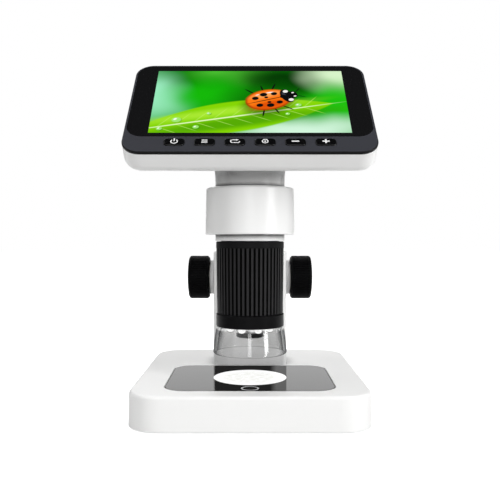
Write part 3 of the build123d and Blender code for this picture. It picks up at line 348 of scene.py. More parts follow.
def metal(name, colour, shade, roughness, lines_mm, stretch, anisotropic=0.0):
    """Worked metal: tool lines drawn out along one axis, in the colour and in the gloss."""
    material, tree = new_material(name)
    place = add_node(tree, "ShaderNodeTexCoord").outputs["Object"]
    drawn = add_node(tree, "ShaderNodeMapping", {"Vector": place, "Scale": stretch})
    lines = add_node(
        tree, "ShaderNodeTexNoise",
        {"Vector": drawn.outputs[0], "Scale": 1 / (lines_mm * MM), "Detail": 4.0},
    )
    tint = add_node(
        tree, "ShaderNodeMix",
        {0: lines.outputs[0], 6: linear(colour), 7: linear(shade)}, data_type="RGBA",
    )
    sheen = add_node(
        tree, "ShaderNodeMapRange",
        {"Value": lines.outputs[0], "To Min": roughness - 0.08, "To Max": roughness + 0.08},
    )
    edge = add_node(tree, "ShaderNodeBevel", {"Radius": 0.1 * MM}, samples=4)
    shader = add_node(
        tree, "ShaderNodeBsdfPrincipled",
        {"Base Color": tint.outputs[2], "Metallic": 1.0, "Roughness": sheen.outputs[0],
         "Anisotropic": anisotropic, "Normal": edge.outputs[0]},
    )
    add_node(tree, "ShaderNodeOutputMaterial", {"Surface": shader.outputs[0]})
    return material


plated_steel = metal("nickel_plated_steel", "#C9C7C2", "#B4B2AD", 0.25, 0.6, (1, 1, 1))
rolled_steel = metal("rolled_steel_plate", "#8B8D90", "#77797C", 0.45, 0.8, (0.1, 1, 1), 0.3)
dress(plated_steel, "base_screws", "column_screws", "back_cover_screws", "arm_screws", "head_screws",
      "knob_set_screws")
dress(rolled_steel, "ballast_plate")

# ---------------------------------------------------------------- stage
# Float glass painted black underneath, except for a round window over the opal acrylic diffuser
# that the stage lamps light from below. Grazing light turns the black glass into a grey mirror.
# A grey ring, screen printed on it, marks the touch switch.
WINDOW_RADIUS = 18.85 * MM
PAINT_EDGE = 0.15 * MM
MOTTLE_MM = 2.5
MOTTLE_FULL_TO = WINDOW_RADIUS - 7 * MM
MOTTLE_NONE_FROM = WINDOW_RADIUS - 3 * MM
WINDOW_GLOW = 0.95
stage_paint, tree = new_material("black_backed_float_glass")
place = add_node(tree, "ShaderNodeTexCoord").outputs["Object"]
around = add_node(tree, "ShaderNodeVectorMath", {0: place, 1: (0, -AXIS_Y, 0)}, operation="ADD")
flat = add_node(
    tree, "ShaderNodeVectorMath", {0: around.outputs[0], 1: (1, 1, 0)}, operation="MULTIPLY"
)
reach = add_node(tree, "ShaderNodeVectorMath", {0: flat.outputs[0]}, operation="LENGTH")
window = add_node(
    tree, "ShaderNodeMapRange",
    {"Value": reach.outputs["Value"], "From Min": WINDOW_RADIUS - PAINT_EDGE, "From Max": WINDOW_RADIUS,
     "To Min": 1.0, "To Max": 0.0},
)
mottle = add_node(
    tree, "ShaderNodeTexNoise", {"Vector": place, "Scale": 1 / (MOTTLE_MM * MM), "Detail": 3.0}
)
mottle_inside = add_node(
    tree, "ShaderNodeMapRange",
    {"Value": reach.outputs["Value"], "From Min": MOTTLE_FULL_TO, "From Max": MOTTLE_NONE_FROM,
     "To Min": 1.0, "To Max": 0.0},
)
mottle_depth = add_node(
    tree, "ShaderNodeMapRange", {"Value": mottle.outputs[0], "From Min": 0.35, "From Max": 0.65}
)
mottle_share = add_node(
    tree, "ShaderNodeMath",
    {0: mottle_depth.outputs[0], 1: mottle_inside.outputs[0]}, operation="MULTIPLY",
)
lit = add_node(
    tree, "ShaderNodeMix",
    {0: mottle_share.outputs[0], 6: linear("#FFFFFF"), 7: linear("#EEEFEA")}, data_type="RGBA",
)
painted = add_node(
    tree, "ShaderNodeMix",
    {0: window.outputs[0], 6: linear("#060607"), 7: linear("#6A6A69")}, data_type="RGBA",
)
shining = add_node(
    tree, "ShaderNodeMix",
    {0: window.outputs[0], 6: linear("#000000"), 7: lit.outputs[2]}, data_type="RGBA",
)
edge = add_node(tree, "ShaderNodeBevel", {"Radius": 0.3 * MM}, samples=4)
shader = add_node(
    tree, "ShaderNodeBsdfPrincipled",
    {"Base Color": painted.outputs[2], "Roughness": 0.03, "IOR": 1.52, "Specular IOR Level": 0.5,
     "Emission Color": shining.outputs[2], "Emission Strength": WINDOW_GLOW,
     "Normal": edge.outputs[0]},
)
add_node(tree, "ShaderNodeOutputMaterial", {"Surface": shader.outputs[0]})
dress(stage_paint, "stage_glass")


def lamp_like(name, colour, roughness, glow, strength, grain_mm):
    """A pale plastic or phosphor that is lit from within, a little unevenly."""
    material, tree = new_material(name)
    place = add_node(tree, "ShaderNodeTexCoord").outputs["Object"]
    cloud = add_node(tree, "ShaderNodeTexNoise", {"Vector": place, "Scale": 1 / (grain_mm * MM)})
    tint = add_node(
        tree, "ShaderNodeMix",
        {0: cloud.outputs[0], 6: linear(colour), 7: linear("#FFFFFF")}, data_type="RGBA",
    )
    shader = add_node(
        tree, "ShaderNodeBsdfPrincipled",
        {"Base Color": tint.outputs[2], "Roughness": roughness, "Emission Color": linear(glow),
         "Emission Strength": strength},
    )
    add_node(tree, "ShaderNodeOutputMaterial", {"Surface": shader.outputs[0]})
    return material


milky_acrylic = lamp_like("opal_acrylic_sheet", "#EDEDEA", 0.5, "#FFFFFF", 0.6, 1.5)
dress(milky_acrylic, "stage_diffuser")

LEGEND_THICKNESS = 0.02 * MM


def arc_points(x, y, radius, start, end, steps):
    """Points on an arc, from start to end in degrees."""
    turns = [math.radians(start + (end - start) * i / steps) for i in range(steps + 1)]
    return [(x + radius * math.cos(a), y + radius * math.sin(a)) for a in turns]


def band(x, y, inner, outer, start=0, end=360, steps=48):
    """A ring or part of one, as four-sided patches."""
    a, b = arc_points(x, y, inner, start, end, steps), arc_points(x, y, outer, start, end, steps)
    return [(a[i], b[i], b[i + 1], a[i + 1]) for i in range(steps)]


def bar(x0, y0, x1, y1, width):
    """A straight bar between two points."""
    length = math.hypot(x1 - x0, y1 - y0)
    nx, ny = -(y1 - y0) / length * width / 2, (x1 - x0) / length * width / 2
    return [((x0 + nx, y0 + ny), (x0 - nx, y0 - ny), (x1 - nx, y1 - ny), (x1 + nx, y1 + ny))]


def printed(name, patches, matrix, body, material, thickness=LEGEND_THICKNESS):
    """A thin closed layer of ink: flat patches in millimetres, welded and raised to its thickness."""
    mesh = bpy.data.meshes.new(name)
    build = bmesh.new()
    for patch in patches:
        build.faces.new([build.verts.new((x * MM, y * MM, 0)) for x, y in patch])
    bmesh.ops.remove_doubles(build, verts=build.verts, dist=0.001 * MM)
    raised = bmesh.ops.extrude_face_region(build, geom=build.faces[:])
    lifted = [part for part in raised["geom"] if isinstance(part, bmesh.types.BMVert)]
    bmesh.ops.translate(build, vec=(0, 0, thickness), verts=lifted)
    bmesh.ops.recalc_face_normals(build, faces=build.faces)
    build.to_mesh(mesh)
    build.free()
    mesh.materials.append(material)
    piece = bpy.data.objects.new(name, mesh)
    piece.matrix_world = matrix
    scene.collection.objects.link(piece)
    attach(piece, body)
    return piece


TOUCH_OFFSET = 25.7  # millimetres in front of the optical axis
TOUCH_INNER, TOUCH_OUTER = 3.55, 4.35
grey_ink = moulded("grey_screen_print", "#C9CACB", "#BFC0C1", 0.5, 0.3, 0.002, 0.005)
stage_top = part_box("stage_glass")[1].z
printed(
    "touch_mark", band(0, 0, TOUCH_INNER, TOUCH_OUTER),
    Matrix.Translation((0, AXIS_Y - TOUCH_OFFSET * MM, stage_top)), "base", grey_ink,
)

# ---------------------------------------------------------------- circuit boards and lamps
# FR4 boards under green solder mask, with the copper tracks showing as paler lines, and white
# LEDs on a white-masked ring board so that little of their light is lost. The hood's LEDs are
# domes of clear epoxy, drawn as glowing in the middle and greyish at the rim.
def board(name, mask, track, pitch_mm):
    """A masked circuit board: tracks run both ways as raised lines under the lacquer."""
    material, tree = new_material(name)
    place = add_node(tree, "ShaderNodeTexCoord").outputs["Object"]
    tracks = add_node(
        tree, "ShaderNodeTexBrick",
        {"Vector": place, "Scale": 1 / (pitch_mm * MM), "Mortar Size": 0.12, "Mortar Smooth": 0.2,
         "Color1": linear(mask), "Color2": linear(mask), "Mortar": linear(track), "Brick Width": 2.3,
         "Row Height": 1.0},
    )
    bump = add_node(
        tree, "ShaderNodeBump",
        {"Height": tracks.outputs["Fac"], "Distance": 0.03 * MM, "Strength": 0.6},
    )
    shader = add_node(
        tree, "ShaderNodeBsdfPrincipled",
        {"Base Color": tracks.outputs["Color"], "Roughness": 0.32, "Normal": bump.outputs[0],
         "Coat Weight": 0.3},
    )
    add_node(tree, "ShaderNodeOutputMaterial", {"Surface": shader.outputs[0]})
    return material


green_board = board("green_masked_circuit_board", "#0B5B33", "#2E8A58", 1.6)
white_board = board("white_masked_circuit_board", "#EDEEEC", "#D6D8D4", 1.6)
dress(green_board, "stage_light_board", "touch_board", "base_board", "main_board", "button_board",
      "sensor_board")
dress(white_board, "led_board")
stage_led = lamp_like("white_led_phosphor", "#F5EFC0", 0.4, "#FFFDF0", 2.0, 0.6)
hood_led = lamp_like("clear_epoxy_led_dome", "#F0F0EC", 0.3, "#FFFFFF", 0.7, 0.9)
DOME_LIT_TO, DOME_CLEAR_FROM = 0.25, 0.60  # by how far its surface turns away
tree = hood_led.node_tree
dome = next(node for node in tree.nodes if node.type == "BSDF_PRINCIPLED")
edge_on = add_node(tree, "ShaderNodeLayerWeight", {"Blend": 0.5}).outputs["Facing"]
rim = add_node(
    tree, "ShaderNodeMapRange",
    {"Value": edge_on, "From Min": DOME_LIT_TO, "From Max": DOME_CLEAR_FROM},
    interpolation_type="SMOOTHSTEP",
)
epoxy = add_node(tree, "ShaderNodeBsdfTransparent", {"Color": linear("#8E8E8C")})
dome_mix = add_node(
    tree, "ShaderNodeMixShader", {0: rim.outputs[0], 1: dome.outputs[0], 2: epoxy.outputs[0]}
)
tree.links.new(
    dome_mix.outputs[0], next(node for node in tree.nodes if node.type == "OUTPUT_MATERIAL").inputs[0]
)
dress(stage_led, "stage_leds")
dress(hood_led, "hood_leds")
socket_steel = metal("tin_plated_socket_shell", "#B9BBBD", "#A5A7A9", 0.3, 0.5, (1, 0.2, 1))
dress(socket_steel, "base_usb_socket", "usb_socket", "microsd_socket")

# ---------------------------------------------------------------- column
# An ABS box in the base's white, closed by a screwed rear cover, with grey bushes for the knob
# shaft and acetal rails inside for the slide plate. A drawn shade greys it behind the head.
column_abs = moulded("white_abs_column", "#FAFAF9", "#F6F6F5", 0.34, edge_mm=0.5)
column_open = openness(column_abs, 25, closed=0.30, open_from=0.90, only_local=False)
deepen(column_abs, column_open, "#B4B4B5")
dress(column_abs, "column_housing")
white_abs = moulded("white_abs_moulded", "#FAFAF9", "#F6F6F5", 0.34, edge_mm=0.5)
dress(white_abs, "column_back_cover")
pale_abs = moulded("pale_grey_abs_moulded", "#E2E2E2", "#DCDCDC", 0.38)
dress(pale_abs, "left_shaft_bush", "right_shaft_bush")
acetal = moulded("natural_acetal", "#E6E3DA", "#DDDACF", 0.3, 0.6, 0.002, 0.1)
dress(acetal, "guide_rails", "knob_washers")

# ---------------------------------------------------------------- knobs, shaft and rack
# Two black ABS knobs with a moulded knurl, each held by a set screw on a ground steel shaft. The
# shaft carries a machined brass pinion, which drives a brass rack up and down.
black_abs = moulded("black_abs_moulded", "#080809", "#060607", 0.42, gloss=0.04)
ground_steel = metal("ground_steel_shaft", "#A9ABAE", "#97999C", 0.22, 0.3, (1, 0.1, 0.1), 0.4)
machined_brass = metal("machined_brass", "#D2B068", "#BE9A52", 0.3, 0.3, (1, 1, 0.15), 0.2)
dress(black_abs, "left_knob", "right_knob")
dress(ground_steel, "knob_shaft")
dress(machined_brass, "pinion", "rack")

# ---------------------------------------------------------------- carriage
# The collar that carries the head is moulded in white ABS in one piece with its arm, and the arm
# is screwed to a slide plate cut from extruded aluminium.
dress(white_abs, "collar_arm")
extruded_aluminium = metal("extruded_aluminium", "#C3C6C9", "#B1B4B7", 0.35, 0.4, (1, 1, 0.05), 0.3)
dress(extruded_aluminium, "slide_plate")

# ---------------------------------------------------------------- head shell and camera
# The rear shell, its flare and the neck are one white moulding. Behind the screen sit the foil
# pouch cell, the boards and the polyimide ribbon that goes down to the camera chip.
shell_abs = moulded("white_abs_shell", "#FAFAF9", "#F6F6F5", 0.34, edge_mm=0.5)
# the shade under the display is drawn: the neck darkens up into the flare, and in narrow corners
TUBE_PLAIN_TO = 92 * MM  # below this the tube is hidden in the collar and stays plain
NECK_LIT_TO, NECK_DARK_FROM = 115 * MM, 123 * MM
tree = shell_abs.node_tree
place = add_node(tree, "ShaderNodeTexCoord").outputs["Object"]
axes = add_node(tree, "ShaderNodeSeparateXYZ", {0: place})
above = add_node(
    tree, "ShaderNodeMath", {0: axes.outputs["Z"], 1: TUBE_PLAIN_TO}, operation="GREATER_THAN"
)
down_the_neck = add_node(
    tree, "ShaderNodeMapRange",
    {"Value": axes.outputs["Z"], "From Min": NECK_LIT_TO, "From Max": NECK_DARK_FROM, "To Min": 1.0,
     "To Max": 0.0},
)
flare_open = openness(shell_abs, 30, closed=0.60, open_from=1.0, only_local=True)
flare_share = add_node(
    tree, "ShaderNodeMath", {0: down_the_neck.outputs[0], 1: flare_open}, operation="MAXIMUM"
)
neck_share = add_node(tree, "ShaderNodeMix", {0: above.outputs[0], 2: 1.0, 3: flare_share.outputs[0]})
corner_open = openness(shell_abs, 4, closed=0.50, open_from=0.88, only_local=False)
corner = add_node(
    tree, "ShaderNodeMath", {0: neck_share.outputs[0], 1: corner_open}, operation="MINIMUM"
)
deepen(shell_abs, corner.outputs[0], "#303031")
dress(shell_abs, "rear_housing")
switch_plastic = moulded("black_nylon_switch", "#151516", "#101011", 0.5, 0.3, 0.002, 0.05)
dress(switch_plastic, "tact_switches")
pouch_foil = metal("aluminium_pouch_foil", "#B8BABC", "#9FA1A4", 0.35, 2.0, (1, 1, 1))
dress(pouch_foil, "battery")
polyimide = moulded("polyimide_ribbon", "#B8792A", "#A96C22", 0.35, 0.5, 0.002, 0.02)
dress(polyimide, "camera_ribbon")

# ---------------------------------------------------------------- focus ring and lens
# A ribbed black ABS ring turns on a thread and moves the anodised lens barrel up and down. Its 48
# grooves run out towards the bottom of the taper, so the shade in them is painted black by angle over
# the grip, between lighter ribs.
RIB_COUNT = 48
GROOVE_ENDS, RIB_BEGINS = 0.25, -0.2  # of the cosine that counts the grooves
GRIP_TOP = 84.0 * MM
BAND_SHARE = 0.4  # of the rib's colour, on the plain band above the grip
ribbed_abs = moulded("black_abs_ribbed", "#333334", "#2D2D2E", 0.36, edge_mm=0.1, gloss=0.02)
tree = ribbed_abs.node_tree
place = add_node(tree, "ShaderNodeTexCoord").outputs["Object"]
around = add_node(tree, "ShaderNodeVectorMath", {0: place, 1: (0, -AXIS_Y, 0)}, operation="ADD")
axes = add_node(tree, "ShaderNodeSeparateXYZ", {0: around.outputs[0]})
turn = add_node(
    tree, "ShaderNodeMath", {0: axes.outputs["Y"], 1: axes.outputs["X"]}, operation="ARCTAN2"
)
turns = add_node(tree, "ShaderNodeMath", {0: turn.outputs[0], 1: RIB_COUNT}, operation="MULTIPLY")
wave = add_node(tree, "ShaderNodeMath", {0: turns.outputs[0]}, operation="COSINE")
rib_share = add_node(
    tree, "ShaderNodeMapRange",
    {"Value": wave.outputs[0], "From Min": RIB_BEGINS, "From Max": GROOVE_ENDS, "To Min": 1.0,
     "To Max": 0.0},
)
on_band = add_node(
    tree, "ShaderNodeMath", {0: axes.outputs["Z"], 1: GRIP_TOP}, operation="GREATER_THAN"
)
grip = add_node(
    tree, "ShaderNodeMix", {0: on_band.outputs[0], 2: rib_share.outputs[0], 3: BAND_SHARE}
)
# painted shade: black in the grooves by angle, while the ribs between keep their lighter colour
deepen(ribbed_abs, grip.outputs[0], "#000000")
dress(ribbed_abs, "focus_ring")
smooth_abs = moulded("black_abs_smooth", "#161617", "#121213", 0.36, gloss=0.03)
dress(smooth_abs, "lower_ring")
dress(black_abs, "lens_carrier")
anodised = moulded("black_anodised_aluminium", "#040405", "#030303", 0.35, 0.3, 0.002, 0.2, gloss=0.15)
dress(anodised, "lens_barrel")


def clear(name, colour, roughness, ior):
    """Clear plastic or glass that lets the lamps through, so that it throws only a faint shadow."""
    material, tree = new_material(name)
    rays = add_node(tree, "ShaderNodeLightPath")
    place = add_node(tree, "ShaderNodeTexCoord").outputs["Object"]
    smear = add_node(
        tree, "ShaderNodeTexNoise", {"Vector": place, "Scale": 1 / (6 * MM), "Detail": 2.0}
    )
    haze = add_node(
        tree, "ShaderNodeMapRange",
        {"Value": smear.outputs[0], "To Min": roughness, "To Max": roughness + 0.03},
    )
    body = add_node(
        tree, "ShaderNodeBsdfPrincipled",
        {"Base Color": linear(colour), "Roughness": haze.outputs[0], "IOR": ior,
         "Transmission Weight": 1.0},
    )
    through = add_node(tree, "ShaderNodeBsdfTransparent", {"Color": linear(colour)})
    mixed = add_node(
        tree, "ShaderNodeMixShader",
        {0: rays.outputs["Is Shadow Ray"], 1: body.outputs[0], 2: through.outputs[0]},
    )
    add_node(tree, "ShaderNodeOutputMaterial", {"Surface": mixed.outputs[0]})
    return material


coated_glass = clear("coated_lens_glass", "#E9F1F4", 0.0, 1.52)
dress(coated_glass, "lenses")

# ---------------------------------------------------------------- hood
# A clear polycarbonate skirt, injection moulded, that plugs into the lower ring. Its thin wall lets
# light straight through, mirrors the lamps as bright streaks and darkens where it is seen edge on.
POLYCARBONATE_SHINE = 0.042
THIN_TO, THICK_FROM = 0.35, 0.95  # by how far the wall is seen edge on
polycarbonate, tree = new_material("clear_polycarbonate_moulded")
place = add_node(tree, "ShaderNodeTexCoord").outputs["Object"]
edge_on = add_node(tree, "ShaderNodeLayerWeight", {"Blend": 0.5}).outputs["Facing"]
depth = add_node(
    tree, "ShaderNodeMapRange", {"Value": edge_on, "From Min": THIN_TO, "From Max": THICK_FROM},
    interpolation_type="SMOOTHSTEP",
)
tint = add_node(
    tree, "ShaderNodeMix",
    {0: depth.outputs[0], 6: linear("#FDFDFD"), 7: linear("#7E8081")}, data_type="RGBA",
)
smear = add_node(tree, "ShaderNodeTexNoise", {"Vector": place, "Scale": 1 / (6 * MM), "Detail": 2.0})
haze = add_node(tree, "ShaderNodeMapRange", {"Value": smear.outputs[0], "To Min": 0.08, "To Max": 0.14})
through = add_node(tree, "ShaderNodeBsdfTransparent", {"Color": tint.outputs[2]})
mirrored = add_node(
    tree, "ShaderNodeBsdfPrincipled",
    {"Base Color": linear("#FFFFFF"), "Metallic": 1.0, "Roughness": haze.outputs[0]},
)
mixed = add_node(
    tree, "ShaderNodeMixShader",
    {0: POLYCARBONATE_SHINE, 1: through.outputs[0], 2: mirrored.outputs[0]},
)
# flecks of the lamps' light, drawn in the top of the skirt under the ring that it plugs into
HOOD_TOP = 44.0 * MM
GLOW_DEPTH = 1.9 * MM
FLECK_MM = 1.6
FLECK_DARK_TO, FLECK_LIT_FROM, FLECK_LIT_SHARE = 0.42, 0.60, 0.8
FLECK_GLOW = 0.9
height = add_node(tree, "ShaderNodeSeparateXYZ", {0: place})
flecks = add_node(
    tree, "ShaderNodeTexNoise", {"Vector": place, "Scale": 1 / (FLECK_MM * MM), "Detail": 2.0}
)
glow_height = add_node(
    tree, "ShaderNodeMapRange",
    {"Value": height.outputs["Z"], "From Min": HOOD_TOP - GLOW_DEPTH,
     "From Max": HOOD_TOP - GLOW_DEPTH / 3},
)
fleck_share = add_node(
    tree, "ShaderNodeMapRange",
    {"Value": flecks.outputs[0], "From Min": FLECK_DARK_TO, "From Max": FLECK_LIT_FROM,
     "To Max": FLECK_LIT_SHARE},
)
glow_share = add_node(
    tree, "ShaderNodeMath", {0: glow_height.outputs[0], 1: fleck_share.outputs[0]}, operation="MULTIPLY"
)
lit_top = add_node(tree, "ShaderNodeEmission", {"Color": linear("#FFFFFF"), "Strength": FLECK_GLOW})
skirt = add_node(
    tree, "ShaderNodeMixShader", {0: glow_share.outputs[0], 1: mixed.outputs[0], 2: lit_top.outputs[0]}
)
add_node(tree, "ShaderNodeOutputMaterial", {"Surface": skirt.outputs[0]})
dress(polycarbonate, "hood")

# ---------------------------------------------------------------- display
# A dark grey ABS bezel around a cover glass that is printed black from behind, with the LCD in its
# window and a row of six gloss-black keys with pad-printed signs below it.
TILT = math.radians(45)
GLASS_THICKNESS = 1.1 * MM
glass_low, glass_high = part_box("cover_glass")
face_normal = Vector((0, -math.sin(TILT), math.cos(TILT)))
face_centre = (glass_low + glass_high) / 2 + face_normal * GLASS_THICKNESS / 2
face = Matrix.Translation(face_centre) @ Matrix.Rotation(TILT, 4, "X")


def on_face(x, y, lift):
    """A place on the glass in millimetres: x to the user's right, y up the face, lift out of it."""
    return face @ Matrix.Translation((x * MM, y * MM, lift * MM))


BEZEL_SIDE_DEPTH = 0.02 * MM  # from here down the bezel is painted black: painted shade of the gap at its joint to the shell
BEZEL_SIDE_FADE = 0.03 * MM
bezel_abs = moulded("dark_grey_abs_moulded", "#3B3C42", "#37383E", 0.45, gloss=0.2)
tree = bezel_abs.node_tree
place = add_node(tree, "ShaderNodeTexCoord").outputs["Object"]
height = add_node(
    tree, "ShaderNodeVectorMath", {0: place, 1: tuple(face_normal)}, operation="DOT_PRODUCT"
)
side_level = face_centre.dot(face_normal) - BEZEL_SIDE_DEPTH
front_share = add_node(
    tree, "ShaderNodeMapRange",
    {"Value": height.outputs["Value"], "From Min": side_level - BEZEL_SIDE_FADE,
     "From Max": side_level},
)
# painted shade: below the face the bezel's side goes black, for the shaded gap to the shell
deepen(bezel_abs, front_share.outputs[0], "#040405")
key_abs = moulded("black_gloss_key", "#060607", "#040405", 0.25, 0.3, 0.002, 0.15)
dress(bezel_abs, "front_bezel")
KEYS = ("power", "menu", "flip", "ok", "minus", "plus")
dress(key_abs, *[f"{key}_button" for key in KEYS])

cover, tree = new_material("black_printed_cover_glass")
place = add_node(tree, "ShaderNodeTexCoord").outputs["Object"]
smear = add_node(tree, "ShaderNodeTexNoise", {"Vector": place, "Scale": 1 / (18 * MM), "Detail": 3.0})
haze = add_node(tree, "ShaderNodeMapRange", {"Value": smear.outputs[0], "To Min": 0.03, "To Max": 0.09})
shader = add_node(
    tree, "ShaderNodeBsdfPrincipled",
    {"Base Color": linear("#161617"), "Roughness": haze.outputs[0], "IOR": 1.5},
)
add_node(tree, "ShaderNodeOutputMaterial", {"Surface": shader.outputs[0]})
dress(cover, "cover_glass")
lcd_back, tree = new_material("bright_backed_lcd_panel")
place = add_node(tree, "ShaderNodeTexCoord").outputs["Object"]
grid = add_node(tree, "ShaderNodeTexChecker", {"Vector": place, "Scale": 1 / (0.4 * MM)})
shader = add_node(
    tree, "ShaderNodeBsdfPrincipled",
    {"Base Color": grid.outputs["Color"], "Roughness": 0.25, "Metallic": 0.6},
)
grid.inputs["Color1"].default_value = linear("#A8ABAE")
grid.inputs["Color2"].default_value = linear("#9DA0A3")
add_node(tree, "ShaderNodeOutputMaterial", {"Surface": shader.outputs[0]})
dress(lcd_back, "lcd_module")

# the keys' signs in millimetres: their row on the glass, then each about the middle of its key
KEY_PITCH = 13.9
KEY_ROW = -35.2
KEY_PROUD = 0.4
ICON_RISE = 0.35
white_ink = moulded("white_pad_print", "#F4F4F4", "#EDEDED", 0.45, 0.3, 0.002, 0.005)
icons = {
    "power": band(0, -0.1, 1.2, 1.75, 130, 410, 30) + bar(0, 0.1, 0, 2.2, 0.6),
    "menu": [p for y in (-0.95, 0, 0.95) for p in bar(-1.35, y, 1.35, y, 0.5)],
    "flip": band(-0.9, 0, 0.75, 1.3, 90, 270, 16) + bar(-0.9, 1.02, 0.7, 1.02, 0.55)
    + [((0.6, 1.75), (0.6, 0.3), (1.9, 1.02))] + bar(-0.7, -1.02, 1.5, -1.02, 0.55)
    + band(1.3, -0.2, 0.55, 1.1, -90, 20, 12),
    "ok": band(0, 0, 1.05, 1.55, steps=32) + [tuple(arc_points(0, 0, 0.5, 0, 345, 15))],
    "minus": bar(-1.65, 0, 1.65, 0, 0.85),
    "plus": bar(-1.65, 0, 1.65, 0, 0.85) + bar(0, 0.425, 0, 1.5, 0.85) + bar(0, -0.425, 0, -1.5, 0.85),
}
for place_in_row, key in enumerate(KEYS):
    printed(
        f"{key}_legend", icons[key],
        on_face(KEY_PITCH * (place_in_row - 2.5), KEY_ROW + ICON_RISE, KEY_PROUD), f"{key}_key",
        white_ink,
    )

# ---------------------------------------------------------------- picture on the screen
# What the LCD shows: a ladybird on a wet leaf against foliage out of focus. It is all light through
# the colour filter, laid down as ovals in millimetres of the screen, one over the other.
SCREEN_HALF_WIDTH = 47.52
SCREEN_HALF_HEIGHT = 26.93
SCREEN_RISE = -0.87
lcd_light, tree = new_material("lcd_colour_filter_light")
place = add_node(tree, "ShaderNodeTexCoord").outputs["Object"]


def overlay(under, far, tone, soft, strength):
    """Lay a tone over the picture so far, inside the line where the distance is one."""
    share = add_node(
        tree, "ShaderNodeMapRange",
        {"Value": far, "From Min": 1 - soft, "From Max": 1 + soft, "To Min": strength, "To Max": 0.0},
        interpolation_type="SMOOTHSTEP",
    )
    mixed = add_node(
        tree, "ShaderNodeMix", {0: share.outputs[0], 6: under, 7: linear(tone)}, data_type="RGBA"
    )
    return mixed.outputs[2]


def own_space(where, x, y, turn, half_length=1 / MM, half_width=1 / MM):
    """The picture as one form sees it: moved to its middle, turned in degrees, scaled to its size."""
    return add_node(
        tree, "ShaderNodeMapping",
        {"Vector": where, "Location": (x * MM, y * MM, 0), "Rotation": (0, 0, math.radians(turn)),
         "Scale": (half_length * MM, half_width * MM, 1)},
        vector_type="TEXTURE",
    ).outputs[0]


def oval(under, where, x, y, half_length, half_width, turn, tone, soft=0.08, strength=1.0):
    """An oval with a soft edge."""
    own = own_space(where, x, y, turn, half_length, half_width)
    far = add_node(tree, "ShaderNodeVectorMath", {0: own}, operation="LENGTH")
    return overlay(under, far.outputs["Value"], tone, soft, strength)


# foliage out of focus, bent by a ripple that moves it by half its reach on average
RIPPLE_REACH = 12
ripple = add_node(tree, "ShaderNodeTexNoise", {"Vector": place, "Scale": 1 / (24 * MM), "Detail": 1.0})
shift = add_node(
    tree, "ShaderNodeVectorMath",
    {0: ripple.outputs["Color"], 1: (RIPPLE_REACH * MM, RIPPLE_REACH * MM, 0)}, operation="MULTIPLY",
)
bent = add_node(
    tree, "ShaderNodeVectorMath", {0: place, 1: shift.outputs[0]}, operation="ADD"
).outputs[0]
light = linear("#12A808")
for x, y, half_length, half_width, turn, tone, strength in (
    (-30, 24, 26, 14, 10, "#067A00", 0.95), (-47, 4, 13, 17, 10, "#A2F2C8", 0.95),
    (-10, 26, 17, 9, -10, "#5ADC3C", 0.80), (18, 18, 26, 14, 0, "#003400", 0.98),
    (45, 23, 15, 13, -30, "#DDF8CE", 0.95), (46, -2, 14, 15, 0, "#1FC40C", 0.90),
    (24, -25, 32, 8, 4, "#D5F8DF", 0.97), (-24, 6, 16, 10, 20, "#12BC04", 0.85),
    (6, 3, 18, 9, 20, "#066A00", 0.80),
):
    middle_x, middle_y = x + RIPPLE_REACH / 2, y + RIPPLE_REACH / 2
    light = oval(light, bent, middle_x, middle_y, half_length, half_width, turn, tone, 0.8, strength)

# the leaf: pointed at both ends, its far half in shade, with a midrib, side veins and dew
LEAF_LENGTH, LEAF_WIDTH = 50, 12.5
leaf = own_space(place, -8, -14, 13)
leaf_own = own_space(place, -8, -14, 13, LEAF_LENGTH, LEAF_WIDTH)
leaf_axes = add_node(tree, "ShaderNodeSeparateXYZ", {0: leaf_own})
along = add_node(tree, "ShaderNodeMath", {0: leaf_axes.outputs["X"], 1: 2.0}, operation="POWER")
across = add_node(tree, "ShaderNodeMath", {0: leaf_axes.outputs["Y"]}, operation="ABSOLUTE")
leaf_far = add_node(
    tree, "ShaderNodeMath", {0: along.outputs[0], 1: across.outputs[0]}, operation="ADD"
)
light = overlay(light, leaf_far.outputs[0], "#86D600", 0.05, 1.0)
light = oval(light, leaf, 0, -5.0, 44, 4.2, 0, "#3C9A00", 0.6, 0.75)
light = oval(light, leaf, -6, 5.0, 36, 2.8, 0, "#B4F03A", 0.8, 0.7)
VEIN_PITCH, VEIN_TURN = 9, 40
for step in range(-4, 5):
    for side in (-1, 1):
        x, y, turn = VEIN_PITCH * step + 3.2, side * 3.6, side * VEIN_TURN
        light = oval(light, leaf, x, y, 5.4, 0.22, turn, "#C9F56A", 0.4, 0.55)
light = oval(light, leaf, 0, 0, 49, 0.5, 0, "#ECFFC4", 0.3, 0.9)
for x, y, size in ((-27, 3.6, 2.3), (-19, -4.2, 1.5), (-36, -1.6, 1.4), (-11, 5.2, 1.1), (33, 2.4, 1.6),
                   (26, -3.6, 1.1)):
    light = oval(light, leaf, x + 0.3, y - 0.5, size, size * 0.85, 0, "#2C7A00", 0.3, 0.6)
    light = oval(light, leaf, x, y, size, size * 0.85, 0, "#A6F07A", 0.1, 0.9)
    glint_x, glint_y = x - size * 0.2, y + size * 0.3
    light = oval(light, leaf, glint_x, glint_y, size * 0.4, size * 0.25, 30, "#FFFFFF", 0.5)

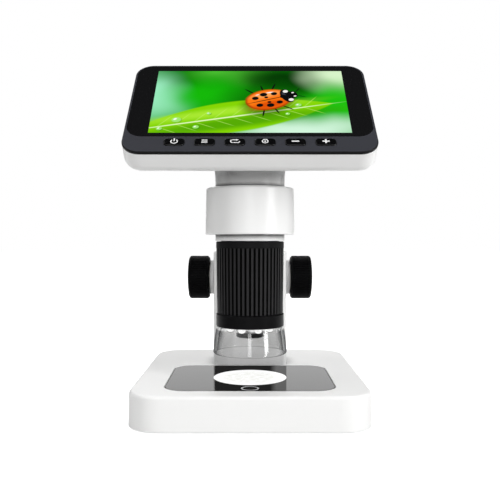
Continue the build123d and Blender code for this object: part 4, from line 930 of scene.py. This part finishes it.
# the ladybird: its shadow, legs, wing cases with their spots, the shield behind the head, the head
bug = own_space(place, 9, 0.5, 20)
BUG_BLACK, BUG_WHITE = "#08080A", "#F8F8F2"
light = oval(light, bug, -1.5, -3.8, 13, 8.6, 0, "#0E4C00", 0.35, 0.7)
for x, turn in ((6.5, 52), (0.5, 84), (-6.0, 118)):
    for side in (-1, 1):
        light = oval(light, bug, x, side * 9.6, 3.4, 0.42, side * turn, BUG_BLACK, 0.25)
for x, y, half_length, half_width, turn, tone, soft, strength in (
    (0, 0, 11.6, 8.7, 0, "#A03000", 0.05, 1.0),
    (0.3, 0.4, 10.9, 7.9, 0, "#FF7A10", 0.10, 1.0),
    (-0.5, -4.4, 8.6, 3.0, 0, "#DC4A00", 0.60, 0.9),
    (0.5, 4.2, 7.0, 2.0, 0, "#FFB260", 0.70, 0.8),
    (0, 0, 11.3, 0.30, 0, BUG_BLACK, 0.30, 1.0),
    (3.0, 5.6, 1.8, 0.45, -6, "#FFFFFF", 0.50, 0.9),
    (-3.6, 5.7, 1.0, 0.35, 8, "#FFFFFF", 0.50, 0.8),
    (10.0, 0, 3.1, 5.9, 0, BUG_BLACK, 0.07, 1.0),
    (13.3, 0, 2.1, 2.9, 0, BUG_BLACK, 0.08, 1.0),
    (9.0, 1.8, 0.8, 1.5, 0, "#4A4A55", 0.60, 0.7),
):
    light = oval(light, bug, x, y, half_length, half_width, turn, tone, soft, strength)
light = oval(light, bug, 8.0, 0, 1.7, 1.5, 0, BUG_BLACK)
for side in (-1, 1):
    for x, y, size in ((4.6, 3.9, 1.6), (-0.6, 4.9, 1.9), (-0.2, 2.2, 1.0), (-5.6, 3.2, 1.7)):
        light = oval(light, bug, x, side * y, size, size * 0.85, 0, BUG_BLACK, 0.1)
    light = oval(light, bug, 10.7, side * 3.9, 1.3, 1.15, 0, BUG_WHITE, 0.12)
    light = oval(light, bug, 13.7, side * 1.6, 0.7, 0.5, 0, BUG_WHITE, 0.2)
    light = oval(light, bug, 16.6, side * 2.7, 2.4, 0.25, side * 38, BUG_BLACK, 0.3)

shader = add_node(
    tree, "ShaderNodeBsdfPrincipled",
    {"Base Color": linear("#050505"), "Roughness": 0.06, "IOR": 1.5, "Emission Color": light,
     "Emission Strength": 1.0},
)
add_node(tree, "ShaderNodeOutputMaterial", {"Surface": shader.outputs[0]})
w, h = SCREEN_HALF_WIDTH, SCREEN_HALF_HEIGHT
printed(
    "lcd_picture", [((-w, -h), (w, -h), (w, h), (-w, h))], on_face(0, SCREEN_RISE, 0),
    "head", lcd_light,
)
